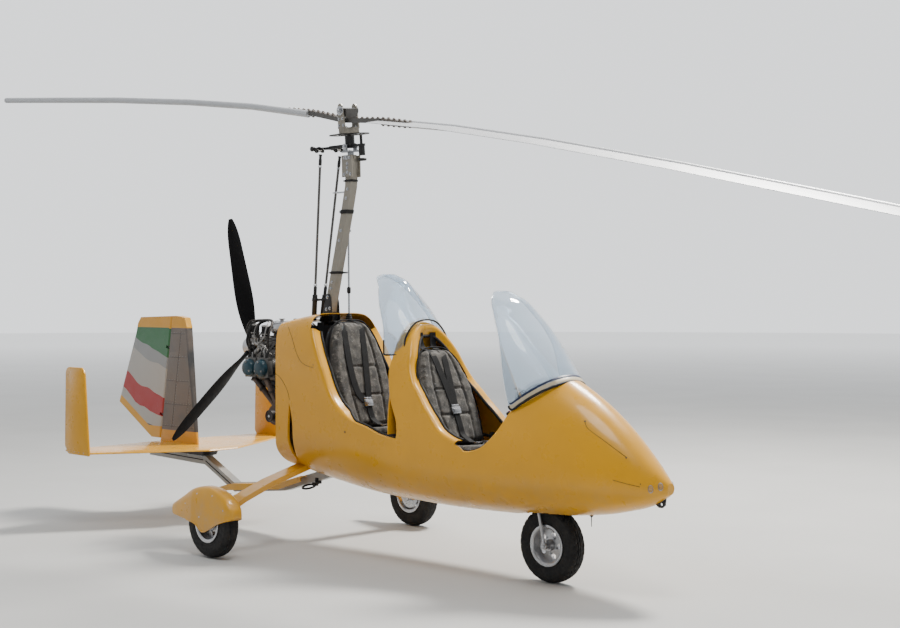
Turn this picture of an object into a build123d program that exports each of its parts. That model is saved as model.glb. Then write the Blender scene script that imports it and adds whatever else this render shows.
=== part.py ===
from build123d import *
import math
import os

os.makedirs("parts", exist_ok=True)

# Open tandem gyrocopter. +X points to the nose, +Y to port, +Z up, millimetres.
# The origin is on the ground under the middle of the parked rotor.
# Stations are measured forward of the main gear leg, st() turns them into X.

# ---- driving sizes ----
LEG_X = -227.93          # X of the main gear leg
TRACK = 1661.0
MAIN_ST = -35.0          # the main axle trails the gear leg
WHEELBASE = 1925.0
NOSE_ST = MAIN_ST + WHEELBASE
TYRE_D, TYRE_W = 410.0, 100.0
RIM_D = 226.0
AXLE_R = 10.0
RUN = 0.05               # running clearance of a shaft in its bore
WALL = 5.0               # composite wall of pod, saddle and cowls
GLASS = 4.0
HEAD_ST = 262.0          # station of the rotor shaft
ROLL_Z = 2410.0          # height of the head's roll pin
HEAD_ROLL = 5.5          # lean of the parked head to starboard, degrees
PITCH_UP = 70.0          # pitch pin above the roll pin, along the shaft
BOLT_UP = 290.0          # teeter bolt above the roll pin, along the shaft
BAR_DOWN = 60.0          # hub bar hung below the teeter bolt
TEETER = 9.4             # parked teeter, forward blade down, degrees
ROTOR_R = 4120.0
CHORD = 200.0
PROP_ST, PROP_Z, PROP_R = -726.0, 1218.0, 865.0
PROP_TURN = 12.2         # parked lean of the first propeller blade to starboard
RAKE = 12.0              # steering axis rake of the nose leg
HINGE_TOP, HINGE_BOTTOM = (-1649.0, 1400.0), (-1790.0, 560.0)   # rudder hinge: station, height


def st(v):
    """X of a station."""
    return LEG_X + v


def side(points):
    """Side view points given as station and height, as X and height."""
    return [(st(a), b) for a, b in points]


def main_side(points):
    """Side view points given as station from the main axle and height."""
    return side([(a + MAIN_ST, b) for a, b in points])


def upper_points(mid, top, half, square):
    """Three points of the upper quarter of a pod section, at 22.5, 45 and 67.5 degrees."""
    out = []
    for t in (22.5, 45.0, 67.5):
        c, s = math.cos(math.radians(t)), math.sin(math.radians(t))
        out.append((half * c ** (2 / square), mid + (top - mid) * s ** (2 / square)))
    return out


# ---- pod ----
# columns: station, bottom, height of widest point, top, half width, squareness
POD = [
    (-130, 470, 650, 1392, 283, 10.0),
    (250, 405, 740, 1455, 312, 4.5),
    (620, 365, 690, 1440, 322, 2.5),
    (930, 352, 640, 1392, 322, 2.1),
    (1500, 350, 610, 1215, 315, 2.0),
    (2080, 384, 600, 1085, 262, 2.0),
    (2400, 436, 590, 868, 178, 2.0),
    (2590, 498, 580, 684, 92, 2.0),
    (2668, 548, 578, 606, 30, 2.0),
]

# side view of everything above the sills: station, height
SILL = [(130, 1600), (196, 1335), (304, 1130), (426, 926), (548, 836), (740, 785), (880, 745),
        (1420, 705), (1560, 702), (1650, 735), (1745, 830), (1812, 938), (2056, 1102), (2056, 1600)]
# side view of the saddle hoop between the cockpits, its foot runs past the sill: front edge, then rear edge
SADDLE_FRONT = [(900, 1420), (914, 1387), (984, 1220), (1004, 1150), (1052, 1060), (1105, 1003), (1175, 925),
                (1240, 862), (1315, 790), (1400, 752), (1500, 722), (1540, 680)]
SADDLE_REAR = [(930, 600), (985, 700), (1001, 763), (997, 829), (973, 882), (938, 946), (903, 1043), (882, 1131), (885, 1207), (950, 1213), (862, 1420)]
# side view of the rear cowls, split off the pod along their seam
COWL = [(-200, 1068), (-85, 1058), (-28, 1003), (16, 902)]
COWL_LOW = (20, 505)
SLOT_AFT, SLOT_FORE = (-4, 700), (58, 700)
# rolled edges of the cockpits: inward depth, width along the side view
LIP_DEEP, LIP_W = 66.0, 14.0

with BuildPart() as pod_outer:
    for x, bottom, mid, top, half, square in POD:
        p = upper_points(mid, top, half, square)
        with BuildSketch(Plane.YZ.offset(st(x))):
            with BuildLine():
                EllipticalCenterArc((0, mid), half, mid - bottom, 270, arc_size=90)
                ThreePointArc((half, mid), p[0], p[1])
                ThreePointArc(p[1], p[2], (0, top))
                mirror(about=Plane.YZ)
            make_face()
    loft()

with BuildPart() as pod_inner:
    for x, bottom, mid, top, half, square in POD[:-1]:
        x = x - 20 if x < 0 else x
        p = upper_points(mid, top - WALL, half - WALL, square)
        with BuildSketch(Plane.YZ.offset(st(x))):
            with BuildLine():
                EllipticalCenterArc((0, mid), half - WALL, mid - bottom - WALL, 270, arc_size=90)
                ThreePointArc((half - WALL, mid), p[0], p[1])
                ThreePointArc(p[1], p[2], (0, top - WALL))
                mirror(about=Plane.YZ)
            make_face()
    loft()

# space left for what stands inside the pod
with BuildPart() as pod_room:
    for x, bottom, mid, top, half, square in POD[:-1]:
        p = upper_points(mid, top - 16, half - 16, square)
        with BuildSketch(Plane.YZ.offset(st(x))):
            with BuildLine():
                EllipticalCenterArc((0, mid), half - 16, mid - bottom - 16, 270, arc_size=90)
                ThreePointArc((half - 16, mid), p[0], p[1])
                ThreePointArc(p[1], p[2], (0, top - 16))
                mirror(about=Plane.YZ)
            make_face()
    loft()

# space inside the rolled cockpit edges
with BuildPart() as lip_room:
    for x, bottom, mid, top, half, square in POD[:6]:
        p = upper_points(mid, top - LIP_DEEP, half - LIP_DEEP, square)
        with BuildSketch(Plane.YZ.offset(st(x))):
            with BuildLine():
                EllipticalCenterArc((0, mid), half - LIP_DEEP, mid - bottom - LIP_DEEP / 2, 270, arc_size=90)
                ThreePointArc((half - LIP_DEEP, mid), p[0], p[1])
                ThreePointArc(p[1], p[2], (0, top - LIP_DEEP))
                mirror(about=Plane.YZ)
            make_face()
    loft()

with BuildPart() as pod_shell:
    add(pod_outer.part)
    add(pod_inner.part, mode=Mode.SUBTRACT)

# gear leg line in the front view: half span, height of its middle
LEG = [(0, 505), (120, 500), (450, 412), (660, 335), (748, 292)]
LEG_CHORD, LEG_T = 112.0, 34.0
# keel tube line in the side view: station, height
KEEL = [(700, 474), (130, 455), (-355, 318), (-890, 262), (-1225, 418), (-1900, 436)]
KEEL_SIDE = 60.0

with BuildPart() as leg_room:
    with BuildSketch(Plane.YZ.offset(st(-LEG_CHORD / 2 - 4))):
        with BuildLine():
            Polyline([(a, b + LEG_T / 2 + 4) for a, b in LEG] + [(a, b - LEG_T / 2 - 4) for a, b in reversed(LEG)], close=True)
        make_face()
        mirror(about=Plane.YZ)
    extrude(amount=LEG_CHORD + 8)

# rolled edge of the rear cockpit, along the first points of the sill
with BuildPart() as rear_lip:
    add(pod_outer.part)
    with BuildSketch(Plane.XZ):
        with BuildLine():
            edge = SILL[:5]
            Polyline(side(edge + [(a - LIP_W, b - LIP_W) for a, b in reversed(edge)]), close=True)
        make_face()
    extrude(amount=600, both=True, mode=Mode.INTERSECT)
    add(lip_room.part, mode=Mode.SUBTRACT)

with BuildPart() as pod_tub:
    add(pod_shell.part)
    with BuildSketch(Plane.XZ):
        with BuildLine():
            Polyline(side(SILL), close=True)
        make_face()
    extrude(amount=600, both=True, mode=Mode.SUBTRACT)
    add(rear_lip.part)
    # nose wheel well in the belly
    with BuildSketch(Plane.XY.offset(300)):
        with Locations((st(NOSE_ST) - 8, 0)):
            SlotOverall(430, 260)
    extrude(amount=140, mode=Mode.SUBTRACT)
    # rear belly, open round the keel and under the engine
    with BuildSketch(Plane.XY.offset(300)):
        with Locations((st(10), 0)):
            Rectangle(440, 90)
    extrude(amount=260, mode=Mode.SUBTRACT)
    add(leg_room.part, mode=Mode.SUBTRACT)
    # hole in the rear deck for the mast, the control rods and the drive shaft
    with BuildSketch(Plane.XY.offset(1370)):
        with Locations((st(28), 0)):
            RectangleRounded(180, 100, 20)
    extrude(amount=150, mode=Mode.SUBTRACT)
    # rear cowls and their slots
    with BuildSketch(Plane.XZ):
        with BuildLine():
            Polyline(side(COWL))
            ThreePointArc(side([COWL[-1]])[0], side([SLOT_FORE])[0], side([COWL_LOW])[0])
            Polyline(side([COWL_LOW, (-200, 500), COWL[0]]))
        make_face()
    extrude(amount=600, both=True, mode=Mode.SUBTRACT)
pod_tub.part.label = "pod_tub"
export_step(pod_tub.part, "parts/pod_tub.step")

with BuildPart() as rear_cowls:
    add(pod_shell.part)
    with BuildSketch(Plane.XZ):
        with BuildLine():
            Polyline(side(COWL))
            ThreePointArc(side([COWL[-1]])[0], side([SLOT_AFT])[0], side([COWL_LOW])[0])
            Polyline(side([COWL_LOW, (-200, 500), COWL[0]]))
        make_face()
    extrude(amount=600, both=True, mode=Mode.INTERSECT)
    add(leg_room.part, mode=Mode.SUBTRACT)
rear_cowls.part.label = "rear_cowls"
export_step(rear_cowls.part, "parts/rear_cowls.step")

# rolled front edge of the saddle
with BuildPart() as front_lip:
    add(pod_outer.part)
    with BuildSketch(Plane.XZ):
        with BuildLine():
            edge = SADDLE_FRONT[1:10]
            Polyline(side(edge + [(a - LIP_W, b - LIP_W / 2) for a, b in reversed(edge)]), close=True)
        make_face()
    extrude(amount=600, both=True, mode=Mode.INTERSECT)
    add(lip_room.part, mode=Mode.SUBTRACT)
    # clear of the front seat pan
    with Locations((0, 0, 1112)):
        Box(4000, 2 * 212, 230, mode=Mode.SUBTRACT)

with BuildPart() as saddle:
    add(pod_shell.part)
    with BuildSketch(Plane.XZ):
        with BuildLine():
            Polyline(side(SADDLE_FRONT + SADDLE_REAR), close=True)
        make_face()
    extrude(amount=600, both=True, mode=Mode.INTERSECT)
    add(front_lip.part)
    with BuildSketch(Plane.XZ):
        with BuildLine():
            Polyline(side(SILL), close=True)
        make_face()
    extrude(amount=600, both=True, mode=Mode.INTERSECT)
saddle.part.label = "saddle"
export_step(saddle.part, "parts/saddle.step")

# panels inside the pod: name, side view outline (station, height); each fills the pod between its walls
with BuildPart() as floor_panel:
    add(pod_inner.part)
    with BuildSketch(Plane.XZ):
        with BuildLine():
            Polyline(side([(330, 468), (2150, 468), (2150, 474), (330, 474)]), close=True)
        make_face()
    extrude(amount=600, both=True, mode=Mode.INTERSECT)
    with BuildSketch(Plane.XY.offset(460)):
        with Locations((st(NOSE_ST - 56), 0)):
            Circle(32)
    extrude(amount=20, mode=Mode.SUBTRACT)
floor_panel.part.label = "cockpit_floor"
export_step(floor_panel.part, "parts/cockpit_floor.step")

with BuildPart() as firewall:
    add(pod_inner.part)
    with BuildSketch(Plane.XZ):
        with BuildLine():
            Polyline(side([(-72, 560), (-66, 560), (-66, 1340), (-72, 1340)]), close=True)
        make_face()
    extrude(amount=600, both=True, mode=Mode.INTERSECT)
firewall.part.label = "firewall"
export_step(firewall.part, "parts/firewall.step")

with BuildPart() as saddle_wall:
    add(pod_inner.part)
    with BuildSketch(Plane.XZ):
        with BuildLine():
            Polyline(side([(926, 760), (932, 760), (896, 1360), (890, 1360)]), close=True)
        make_face()
    extrude(amount=600, both=True, mode=Mode.INTERSECT)
saddle_wall.part.label = "saddle_wall"
export_step(saddle_wall.part, "parts/saddle_wall.step")

# instrument panels: front one under the nose screen, rear one behind the front seat
with BuildPart() as instrument_panel:
    with BuildSketch(Plane.YZ.offset(st(1800))):
        with BuildLine():
            Polyline((-190, 760), (-205, 900), (-190, 960))
            ThreePointArc((-190, 960), (0, 1075), (190, 960))
            Polyline((190, 960), (205, 900), (190, 760), (-190, 760))
        make_face()
    extrude(amount=60)
    fillet(instrument_panel.edges().filter_by(Axis.X), 12)
instrument_panel.part.label = "instrument_panel"
export_step(instrument_panel.part, "parts/instrument_panel.step")

with BuildPart() as rear_panel:
    with BuildSketch(Plane.YZ.offset(st(832))):
        with Locations((0, 1215)):
            RectangleRounded(190, 130, 18)
    extrude(amount=54)
rear_panel.part.label = "rear_instrument_panel"
export_step(rear_panel.part, "parts/rear_instrument_panel.step")

# ---- seats: side view of the cushion, knee to head ----
# columns: name, back top, back foot, seat front, (all station, height), thickness, width
SEATS = [
    ("rear_seat", (215, 1395), (430, 690), (800, 720), 62, 400),
    ("front_seat", (955, 1240), (1197, 640), (1545, 662), 62, 390),
]
for name, head, foot, knee, thick, width in SEATS:
    back = Vector(head[0] - foot[0], head[1] - foot[1]).normalized()
    lift = Vector(knee[0] - foot[0], knee[1] - foot[1]).normalized()
    f = Vector(foot[0], foot[1])
    inner = f + back * thick * 1.15 + lift * thick * 1.35
    # front view of the seat, arched at the head
    w, h = width / 2 + 8, head[1] + 2
    with BuildPart() as arch:
        with BuildSketch(Plane.YZ.offset(st(head[0] - 40))):
            with BuildLine():
                Polyline((w, 400), (w, h - 190))
                ThreePointArc((w, h - 190), (w * 0.74, h - 55), (0, h))
                mirror(about=Plane.YZ)
                Line((w, 400), (-w, 400))
            make_face()
        extrude(amount=900)
    with BuildPart() as cushion:
        with BuildSketch(Plane.XZ):
            with BuildLine():
                Polyline(side([
                    (head[0], head[1]), (head[0] + back.Y * thick, head[1] - back.X * thick),
                    (inner.X, inner.Y), (knee[0] - lift.Y * thick, knee[1] + lift.X * thick),
                    (knee[0], knee[1]), (foot[0], foot[1]),
                ]), close=True)
            make_face()
        extrude(amount=width / 2, both=True)
        add(pod_room.part, mode=Mode.INTERSECT)
        add(arch.part, mode=Mode.INTERSECT)
    cushion.part.label = name + "_cushion"
    export_step(cushion.part, "parts/" + name + "_cushion.step")
    # moulded seat pan under the cushion, 6 thick, 0.5 off it
    a, b = 0.5, 6.5
    with BuildPart() as pan:
        with BuildSketch(Plane.XZ):
            with BuildLine():
                Polyline(side([
                    (head[0] - back.Y * a, head[1] + back.X * a), (foot[0] - a, foot[1] - a), (knee[0] + lift.Y * a, knee[1] - lift.X * a),
                    (knee[0] + lift.Y * b, knee[1] - lift.X * b), (foot[0] - b, foot[1] - b), (head[0] - back.Y * b, head[1] + back.X * b),
                ]), close=True)
            make_face()
        extrude(amount=width / 2 + 8, both=True)
        with BuildSketch(Plane.XZ):
            with BuildLine():
                Polyline(side([(foot[0] + 60, 474), (foot[0] + 90, 474), (foot[0] + 90, foot[1] + 0.1), (foot[0] + 60, foot[1] + 0.1)]), close=True)
            make_face()
        extrude(amount=width / 2 - 60, both=True)
        with BuildSketch(Plane.XZ):
            with BuildLine():
                Polyline(side([
                    (head[0] - back.Y * a, head[1] + back.X * a), (foot[0] - a, foot[1] - a), (knee[0] + lift.Y * a, knee[1] - lift.X * a),
                    (knee[0] + lift.Y * a, 1500), (head[0] - back.Y * a, 1500)]), close=True)
            make_face()
        extrude(amount=width, both=True, mode=Mode.SUBTRACT)
        add(pod_room.part, mode=Mode.INTERSECT)
        add(arch.part, mode=Mode.INTERSECT)
    pan.part.label = name + "_pan"
    export_step(pan.part, "parts/" + name + "_pan.step")

# ---- windscreens: level sections ----
# columns: height, station of the rear edge, length ahead of it, half width
NOSE_GLASS = [(915, 1805, 341, 242), (1100, 1750, 288, 236), (1300, 1700, 168, 214), (1450, 1620, 110, 162), (1540, 1548, 90, 105), (1576, 1530, 40, 50)]
REAR_GLASS = [(1180, 818, 258, 236), (1330, 782, 210, 214), (1480, 715, 162, 175), (1600, 632, 148, 108), (1650, 600, 130, 72), (1682, 600, 50, 36)]
# side view kept of each: station, height
NOSE_GLASS_KEEP = [(1790, 938.5), (1812, 938.5), (2056, 1102.5), (2300, 1266), (2300, 1700), (1450, 1700), (1450, 1576), (1530, 1556), (1590, 1480), (1696, 1311), (1750, 1096)]
REAR_GLASS_KEEP = [(806, 1207.5), (944, 1213.5), (858, 1415), (858, 1428), (1100, 1428), (1100, 1800), (500, 1800), (540, 1660), (600, 1640), (680, 1528), (775, 1371)]
screens = {}
for name, table, keep in (("front_windscreen", NOSE_GLASS, NOSE_GLASS_KEEP), ("rear_windscreen", REAR_GLASS, REAR_GLASS_KEEP)):
    with BuildPart() as void:
        for z, x, ahead, half in table[:-1] + [(table[-1][0] - GLASS,) + table[-1][1:]]:
            with BuildSketch(Plane.XY.offset(z)):
                with Locations((st(x), 0)):
                    Ellipse(ahead - GLASS, half - GLASS)
        loft()
    with BuildPart() as screen:
        for z, x, ahead, half in table:
            with BuildSketch(Plane.XY.offset(z)):
                with Locations((st(x), 0)):
                    Ellipse(ahead, half)
        loft()
        add(void.part, mode=Mode.SUBTRACT)
        with BuildSketch(Plane.XZ):
            with BuildLine():
                Polyline(side(keep), close=True)
            make_face()
        extrude(amount=600, both=True, mode=Mode.INTERSECT)
        if name == "rear_windscreen":
            add(pod_outer.part, mode=Mode.SUBTRACT)
    screens[name] = screen
    screen.part.label = name
    export_step(screen.part, "parts/" + name + ".step")

# ---- keel, mast and gear ----
with BuildPart() as keel:
    with BuildSketch(Plane.XZ):
        with BuildLine():
            Polyline(side([(a, b + KEEL_SIDE / 2) for a, b in KEEL] + [(a, b - KEEL_SIDE / 2) for a, b in reversed(KEEL)]), close=True)
        make_face()
    extrude(amount=KEEL_SIDE / 2, both=True)
    split(bisect_by=Plane.YZ.offset(st(330)), keep=Keep.BOTTOM)
keel.part.label = "keel_tube"
export_step(keel.part, "parts/keel_tube.step")

KEEL_COVER_W = 170.0
with BuildPart() as keel_cover:
    with BuildSketch(Plane.XZ):
        with BuildLine():
            Polyline(side([(-130, 408), (-355, 344), (-880, 289), (-1020, 251), (-1020, 229), (-880, 247), (-355, 302), (-130, 371)]), close=True)
        make_face()
    extrude(amount=KEEL_COVER_W / 2, both=True)
    with BuildSketch(Plane.XZ):
        with BuildLine():
            Polyline(side([(-100, 361), (-355, 294), (-880, 239), (-1060, 217), (-1060, 235), (-880, 283), (-355, 338), (-100, 410.5)]), close=True)
        make_face()
    extrude(amount=KEEL_COVER_W / 2 - 6, both=True, mode=Mode.SUBTRACT)
    add(keel.part, mode=Mode.SUBTRACT)
keel_cover.part.label = "keel_cover"
export_step(keel_cover.part, "parts/keel_cover.step")

with BuildPart() as gear_leg:
    with BuildSketch(Plane.YZ.offset(st(-LEG_CHORD / 2))):
        with BuildLine():
            Polyline([(a, b + LEG_T / 2) for a, b in LEG] + [(a, b - LEG_T / 2) for a, b in reversed(LEG)], close=True)
        make_face()
        mirror(about=Plane.YZ)
    extrude(amount=LEG_CHORD)
gear_leg.part.label = "gear_leg"
export_step(gear_leg.part, "parts/gear_leg.step")

# knuckle plates on the ends of the leg, with the stub axles
KNUCKLE_Y, SPAT_W = 748.0, 120.0
with BuildPart() as axle_knuckles:
    for sign in (-1, 1):
        with BuildSketch(Plane.XZ.offset(-sign * KNUCKLE_Y)):
            with BuildLine():
                Polyline(main_side([(-38, 309), (38, 309), (34, 190), (18, 176), (-18, 176), (-34, 190)]), close=True)
            make_face()
        extrude(amount=-sign * 10)
        with BuildSketch(Plane.XZ.offset(-sign * KNUCKLE_Y)):
            with Locations((st(MAIN_ST), TYRE_D / 2)):
                Circle(AXLE_R)
        extrude(amount=-sign * 136)
        # bracket up to the spat's inner wall
        with BuildSketch(Plane.XZ.offset(-sign * KNUCKLE_Y)):
            with BuildLine():
                Polyline(main_side([(-34, 309), (34, 309), (70, 380), (-70, 380)]), close=True)
            make_face()
        extrude(amount=-sign * ((TRACK - SPAT_W) / 2 - KNUCKLE_Y))
axle_knuckles.part.label = "axle_knuckles"
export_step(axle_knuckles.part, "parts/axle_knuckles.step")

# ---- wheels: name, station, side offset ----
WHEELS = [("nose", NOSE_ST, 0.0), ("left", MAIN_ST, TRACK / 2), ("right", MAIN_ST, -TRACK / 2)]
for name, x, y in WHEELS:
    centre = (st(x), y, TYRE_D / 2)
    across = Plane(origin=centre, x_dir=(1, 0, 0), z_dir=(0, 0, 1))
    face = Plane(origin=centre, x_dir=(1, 0, 0), z_dir=(0, -1, 0))
    with BuildPart() as rim:
        with BuildSketch(across):
            with BuildLine():
                Polyline([(0, -48), (30, -48), (32, -14), (94, -6), (94, -45), (101, -50), (RIM_D / 2, -50), (RIM_D / 2, -46),
                          (101, -45), (101, 45), (RIM_D / 2, 46), (RIM_D / 2, 50), (101, 50), (94, 45), (94, 6), (32, 14), (30, 48), (0, 48)], close=True)
            make_face()
        revolve(axis=Axis(centre, (0, 1, 0)))
        with BuildSketch(face.offset(-60)):
            Circle(AXLE_R + RUN)
            with PolarLocations(63, 5):
                Circle(15)
        extrude(amount=120, mode=Mode.SUBTRACT)
    rim.part.label = name + "_rim"
    export_step(rim.part, "parts/" + name + "_rim.step")
    with BuildPart() as tyre:
        with BuildSketch(across):
            with BuildLine():
                Polyline((101.3, -44.5), (114, -44.5), (132, -49))
                ThreePointArc((132, -49), (158, -TYRE_W / 2), (184, -45))
                ThreePointArc((184, -45), (196, -35), (201, -22))
                ThreePointArc((201, -22), (TYRE_D / 2, 0), (201, 22))
                ThreePointArc((201, 22), (196, 35), (184, 45))
                ThreePointArc((184, 45), (158, TYRE_W / 2), (132, 49))
                Polyline((132, 49), (114, 44.5), (101.3, 44.5), (101.3, -44.5))
            make_face()
        revolve(axis=Axis(centre, (0, 1, 0)))
    tyre.part.label = name + "_tyre"
    export_step(tyre.part, "parts/" + name + "_tyre.step")

# wheel spats: teardrop shells over the main wheels, open below, slotted for the knuckle
SPAT_TOP = [(236, 262), (226, 300), (155, 373), (0, 421), (-148, 401), (-256, 332), (-408, 254)]
SPAT_LOW = [(-325, 238), (-181, 213), (-104, 196), (-32, 153), (49, 182), (124, 218), (226, 249)]
# seen from above: station from the main axle, half width
SPAT_PLAN = [(236, 34), (190, 60), (-140, 60), (-408, 12)]
for name, sign in (("left", 1), ("right", -1)):
    with BuildPart() as spat:
        for gap, way in ((0, Mode.ADD), (WALL, Mode.SUBTRACT)):
            with BuildPart(mode=Mode.PRIVATE) as body:
                with BuildSketch(Plane.XZ):
                    with BuildLine():
                        t = SPAT_TOP
                        Polyline(main_side([(-32, t[6][1] - 100 * gap)] + [(a, b - 20 * gap) for a, b in SPAT_LOW[4:]] + [(t[0][0] - gap, t[0][1]), (t[1][0] - gap, t[1][1] - gap), (t[2][0] - gap, t[2][1] - gap)]))
                        ThreePointArc(main_side([(t[2][0] - gap, t[2][1] - gap)])[0], main_side([(t[3][0], t[3][1] - gap)])[0], main_side([(t[4][0] + gap, t[4][1] - gap)])[0])
                        Polyline(main_side([(t[4][0] + gap, t[4][1] - gap), (t[5][0] + gap, t[5][1] - gap), (t[6][0] + 4 * gap, t[6][1])] + [(a, b - 20 * gap) for a, b in SPAT_LOW[:3]] + [(-32, t[6][1] - 100 * gap)]))
                    make_face()
                extrude(amount=1000, both=True)
                with BuildSketch(Plane.XY):
                    with BuildLine():
                        Polyline([(st(MAIN_ST + a - (gap if a > 0 else -gap)), sign * TRACK / 2 + b - gap) for a, b in SPAT_PLAN] + [(st(MAIN_ST + a - (gap if a > 0 else -gap)), sign * TRACK / 2 - b + gap) for a, b in reversed(SPAT_PLAN)], close=True)
                    make_face()
                extrude(amount=600, mode=Mode.INTERSECT)
            add(body.part, mode=way)
        with BuildSketch(Plane.XZ.offset(-sign * ((TRACK - SPAT_W) / 2 - 2))):
            with BuildLine():
                Polyline(main_side([(-60, 100), (60, 100), (60, 318), (-60, 318)]), close=True)
            make_face()
        extrude(amount=-sign * (WALL + 4), mode=Mode.SUBTRACT)
    spat.part.label = name + "_spat"
    export_step(spat.part, "parts/" + name + "_spat.step")

# ---- nose leg: turns on the raked steering axis ----
c, s = math.cos(math.radians(RAKE)), math.sin(math.radians(RAKE))
steer = Plane(origin=(st(NOSE_ST), 0, TYRE_D / 2), x_dir=(c, 0, s), z_dir=(-s, 0, c))
LEG_Y, CROWN_UP = 66.0, 232.0
with BuildPart() as nose_fork:
    for y in (-LEG_Y, LEG_Y):
        with BuildSketch(Plane.XZ.offset(-y - 6)):
            with Locations((st(NOSE_ST), TYRE_D / 2)):
                Circle(19)
        extrude(amount=12)
    with BuildSketch(steer.offset(14)):
        with Locations((0, -LEG_Y), (0, LEG_Y)):
            Circle(9)
    extrude(amount=CROWN_UP - 10)
    with BuildSketch(steer.offset(CROWN_UP)):
        RectangleRounded(38, 152, 8)
    extrude(amount=16)
    with BuildSketch(steer.offset(CROWN_UP + 16)):
        Circle(14)
    extrude(amount=150)
    with BuildSketch(Plane.XZ.offset(-80)):
        with Locations((st(NOSE_ST), TYRE_D / 2)):
            Circle(AXLE_R)
    extrude(amount=160)
nose_fork.part.label = "nose_fork"
export_step(nose_fork.part, "parts/nose_fork.step")

with BuildPart() as steering_head:
    with BuildSketch(steer.offset(284)):
        Circle(27)
    extrude(amount=96)
    with BuildSketch(Plane.XY.offset(474)):
        with Locations((st(NOSE_ST - 57), 0)):
            RectangleRounded(130, 110, 20)
    extrude(amount=10)
    with BuildSketch(steer.offset(200)):
        Circle(14 + RUN)
    extrude(amount=220, mode=Mode.SUBTRACT)
steering_head.part.label = "steering_head"
export_step(steering_head.part, "parts/steering_head.step")

# ---- mast: kinked square tube, station and height of its middle ----
MAST = [(-12, 523), (12, 1000), (76, 1500), (222, 2060), (262, 2230), (272, 2380)]
MAST_W = 54.0
with BuildPart() as mast:
    with BuildSketch(Plane.XZ):
        with BuildLine():
            Polyline(side([(a + MAST_W / 2, b) for a, b in MAST] + [(a - MAST_W / 2, b) for a, b in reversed(MAST)]), close=True)
        make_face()
    extrude(amount=MAST_W / 2, both=True)
    add(keel.part, mode=Mode.SUBTRACT)
    add(gear_leg.part, mode=Mode.SUBTRACT)
mast.part.label = "mast"
export_step(mast.part, "parts/mast.step")

# ---- rotor head, leaned on its roll pin ----
a = math.radians(HEAD_ROLL)
shaft_z = Vector(0, -math.sin(a), math.cos(a))
pitch_y = Vector(0, math.cos(a), math.sin(a))
head_origin = Vector(st(HEAD_ST), 0, ROLL_Z)
head = Plane(origin=head_origin, x_dir=(1, 0, 0), z_dir=shaft_z)
roll_pin = Plane(origin=head_origin, x_dir=(0, 1, 0), z_dir=(1, 0, 0))
pitch_pin = Plane(origin=head_origin + shaft_z * PITCH_UP, x_dir=(1, 0, 0), z_dir=pitch_y)
bolt_origin = head_origin + shaft_z * BOLT_UP
bolt_pin = Plane(origin=bolt_origin, x_dir=(1, 0, 0), z_dir=pitch_y)
t = math.radians(TEETER)
blade_x = Vector(math.cos(t), 0, 0) - shaft_z * math.sin(t)
blade_z = shaft_z * math.cos(t) + Vector(math.sin(t), 0, 0)
blades = Plane(origin=bolt_origin, x_dir=blade_x, z_dir=blade_z)
PIN_R, BOLT_R = 6.0, 9.0

with BuildPart() as mast_head:
    for y in (-29, 37):
        with BuildSketch(Plane.XZ.offset(-y)):
            with BuildLine():
                Polyline(side([(HEAD_ST - 46, 2424), (HEAD_ST + 46, 2424), (HEAD_ST + 50, 2290), (HEAD_ST - 42, 2290)]), close=True)
            make_face()
        extrude(amount=8)
    with BuildSketch(Plane.XY.offset(2380)):
        with Locations((st(HEAD_ST), 0)):
            Rectangle(72, 58)
    extrude(amount=6)
    with BuildSketch(Plane.XY.offset(2310)):
        with Locations((st(HEAD_ST + 6), 28), (st(HEAD_ST + 6), -28)):
            Rectangle(60, 3)
    extrude(amount=50)
    for x in (-30, 22):
        with BuildSketch(Plane.YZ.offset(st(HEAD_ST) + x)):
            with Locations((0, 2405)):
                Rectangle(40, 44)
        extrude(amount=8)
    with BuildSketch(roll_pin.offset(-34)):
        Circle(PIN_R)
    extrude(amount=68)
    add(mast.part, mode=Mode.SUBTRACT)
mast_head.part.label = "mast_head_plates"
export_step(mast_head.part, "parts/mast_head_plates.step")

with BuildPart() as roll_yoke:
    with BuildSketch(head.offset(-12)):
        Rectangle(30, 26)
    extrude(amount=46)
    with BuildSketch(head.offset(34)):
        RectangleRounded(76, 92, 8)
    extrude(amount=8)
    with BuildSketch(head.offset(42)):
        with Locations((0, -40), (0, 40)):
            Rectangle(30, 10)
    extrude(amount=40)
    with BuildSketch(roll_pin.offset(-20)):
        Circle(PIN_R + RUN)
    extrude(amount=40, mode=Mode.SUBTRACT)
    with BuildSketch(pitch_pin.offset(-60)):
        Circle(PIN_R + RUN)
    extrude(amount=120, mode=Mode.SUBTRACT)
roll_yoke.part.label = "head_roll_yoke"
export_step(roll_yoke.part, "parts/head_roll_yoke.step")

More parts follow.
